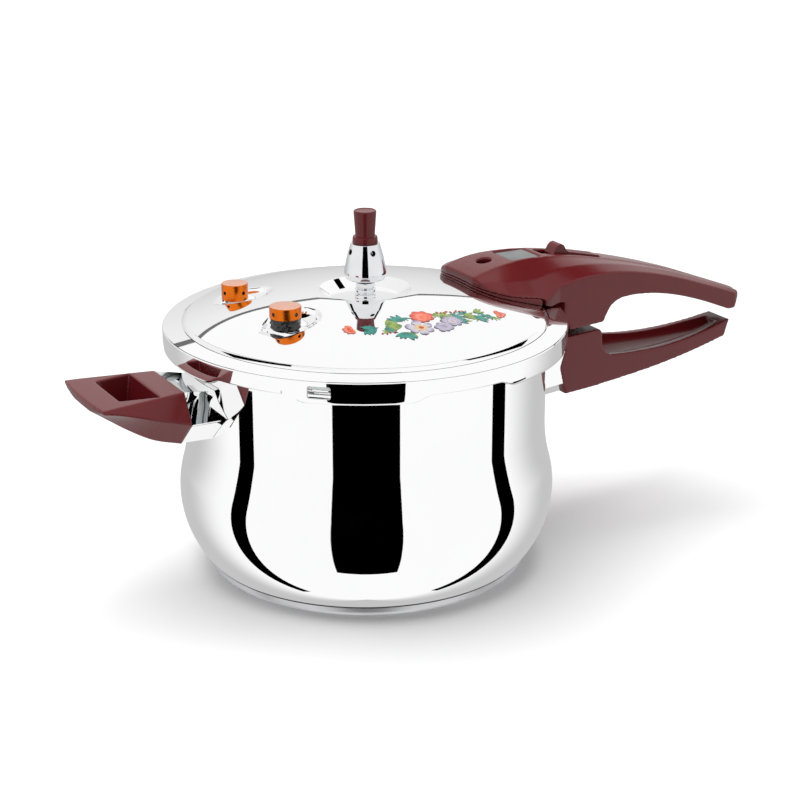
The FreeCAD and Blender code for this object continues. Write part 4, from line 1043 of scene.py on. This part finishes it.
def boom_flag(name, turn, rise, distance, width, height):
    """A flag hung from a boom above the pot, facing it."""
    turn, rise = math.radians(turn), math.radians(rise)
    level_way = FRONT * math.cos(turn) + RIGHT * math.sin(turn)
    out = level_way * math.cos(rise) + UP * math.sin(rise)
    across = UP.cross(out).normalized()
    return mirror_only(stage_sheet(name, out * distance + UP * 150, across, out.cross(across), width, height,
                                   flag_black))


flag("camera_flag", 0.0, 300.0, 184.0, -190.0, 330.0)
flag("left_flag", -57.7, 190.0, 30.0, -330.0, 108.0)
flag("right_flag", 66.0, 190.0, 30.0, -330.0, 108.0)
boom_flag("left_boom", -108.0, 53.0, 560.0, 180.0, 270.0)
boom_flag("right_boom", 126.0, 44.0, 560.0, 180.0, 270.0)

world = bpy.data.worlds.new("studio")
scene.world = world
world.use_nodes = True
sky = world.node_tree
sky.nodes.clear()
way = add(sky, "ShaderNodeTexCoord").outputs["Generated"]
level = add(sky, "ShaderNodeVectorMath", {0: way, 1: (1.0, 1.0, 0.0)}, operation="MULTIPLY").outputs[0]
level = add(sky, "ShaderNodeVectorMath", {0: level}, operation="NORMALIZE").outputs[0]
behind = add(sky, "ShaderNodeVectorMath", {0: level, 1: tuple(-FRONT)}, operation="DOT_PRODUCT").outputs["Value"]
rise = add(sky, "ShaderNodeSeparateXYZ", {0: way}).outputs[2]
back = add(sky, "ShaderNodeMapRange", {"Value": behind, "From Min": 0.05, "From Max": 0.75},
           interpolation_type="SMOOTHSTEP").outputs[0]
aside = add(sky, "ShaderNodeVectorMath", {0: level, 1: tuple(RIGHT)}, operation="DOT_PRODUCT").outputs["Value"]
droop = maths(sky, "POWER", maths(sky, "MAXIMUM", maths(sky, "ADD", aside, 0.02), 0.0), 2.0)
lift = maths(sky, "POWER", maths(sky, "MAXIMUM", maths(sky, "SUBTRACT", maths(sky, "MULTIPLY", aside, -1.0), 0.19),
                                 0.0), 2.0)
edge_height = maths(sky, "MAXIMUM", 0.2, maths(sky, "MULTIPLY_ADD", lift, 3.5,
                                               maths(sky, "MULTIPLY_ADD", droop, -3.3, 0.386)))
wall_tone = add(sky, "ShaderNodeMapRange", {
    "Value": rise, "From Min": -0.25, "From Max": 0.39, "To Min": 0.56, "To Max": 0.90}).outputs[0]
under = maths(sky, "LESS_THAN", rise, edge_height)
line_low = maths(sky, "GREATER_THAN", rise, maths(sky, "SUBTRACT", edge_height, 0.018))
line = maths(sky, "MULTIPLY", maths(sky, "MULTIPLY", under, line_low), back)
greyed = maths(sky, "MULTIPLY", back, under)
tone = maths(sky, "SUBTRACT", 1.0, maths(sky, "MULTIPLY", greyed, maths(sky, "SUBTRACT", 1.0, wall_tone)))
tone = maths(sky, "MULTIPLY", tone, maths(sky, "SUBTRACT", 1.0, maths(sky, "MULTIPLY", line, 0.82)))
rays = add(sky, "ShaderNodeLightPath").outputs
mirror_light = maths(sky, "MULTIPLY", tone, 1.28)
shown = add(sky, "ShaderNodeMix", data_type="FLOAT")
sky.links.new(rays["Is Glossy Ray"], shown.inputs[0])
shown.inputs[2].default_value = 0.62
sky.links.new(mirror_light, shown.inputs[3])
camera_sees = add(sky, "ShaderNodeMix", data_type="FLOAT")
sky.links.new(rays["Is Camera Ray"], camera_sees.inputs[0])
sky.links.new(shown.outputs[0], camera_sees.inputs[2])
camera_sees.inputs[3].default_value = 1.0
glow = add(sky, "ShaderNodeBackground", {"Strength": camera_sees.outputs[0]})
add(sky, "ShaderNodeOutputWorld", {"Surface": glow.outputs[0]})


lamp = bpy.data.lights.new("soft_key", "SUN")
lamp.energy = 3.0
lamp.angle = math.radians(58.0)
key = bpy.data.objects.new("soft_key", lamp)
scene.collection.objects.link(key)
key.rotation_euler = (-RIGHT * 0.20 - FRONT * 0.10 + UP).to_track_quat("Z", "Y").to_euler()
key.visible_glossy = False

eye = FRONT * 1200 * math.cos(math.radians(21.2)) + UP * (1200 * math.sin(math.radians(21.2)) + 60)
look = RIGHT * 21.5 + (-FRONT * math.sin(math.radians(21.2)) + UP * math.cos(math.radians(21.2))) * 39.3 + UP * 60
camera = bpy.data.cameras.new("camera")
camera.lens = 85.2
camera.sensor_width = 36.0
camera_object = bpy.data.objects.new("camera", camera)
scene.collection.objects.link(camera_object)
camera_object.location = eye * MM
camera_object.rotation_euler = (look - eye).to_track_quat("-Z", "Y").to_euler()
scene.camera = camera_object
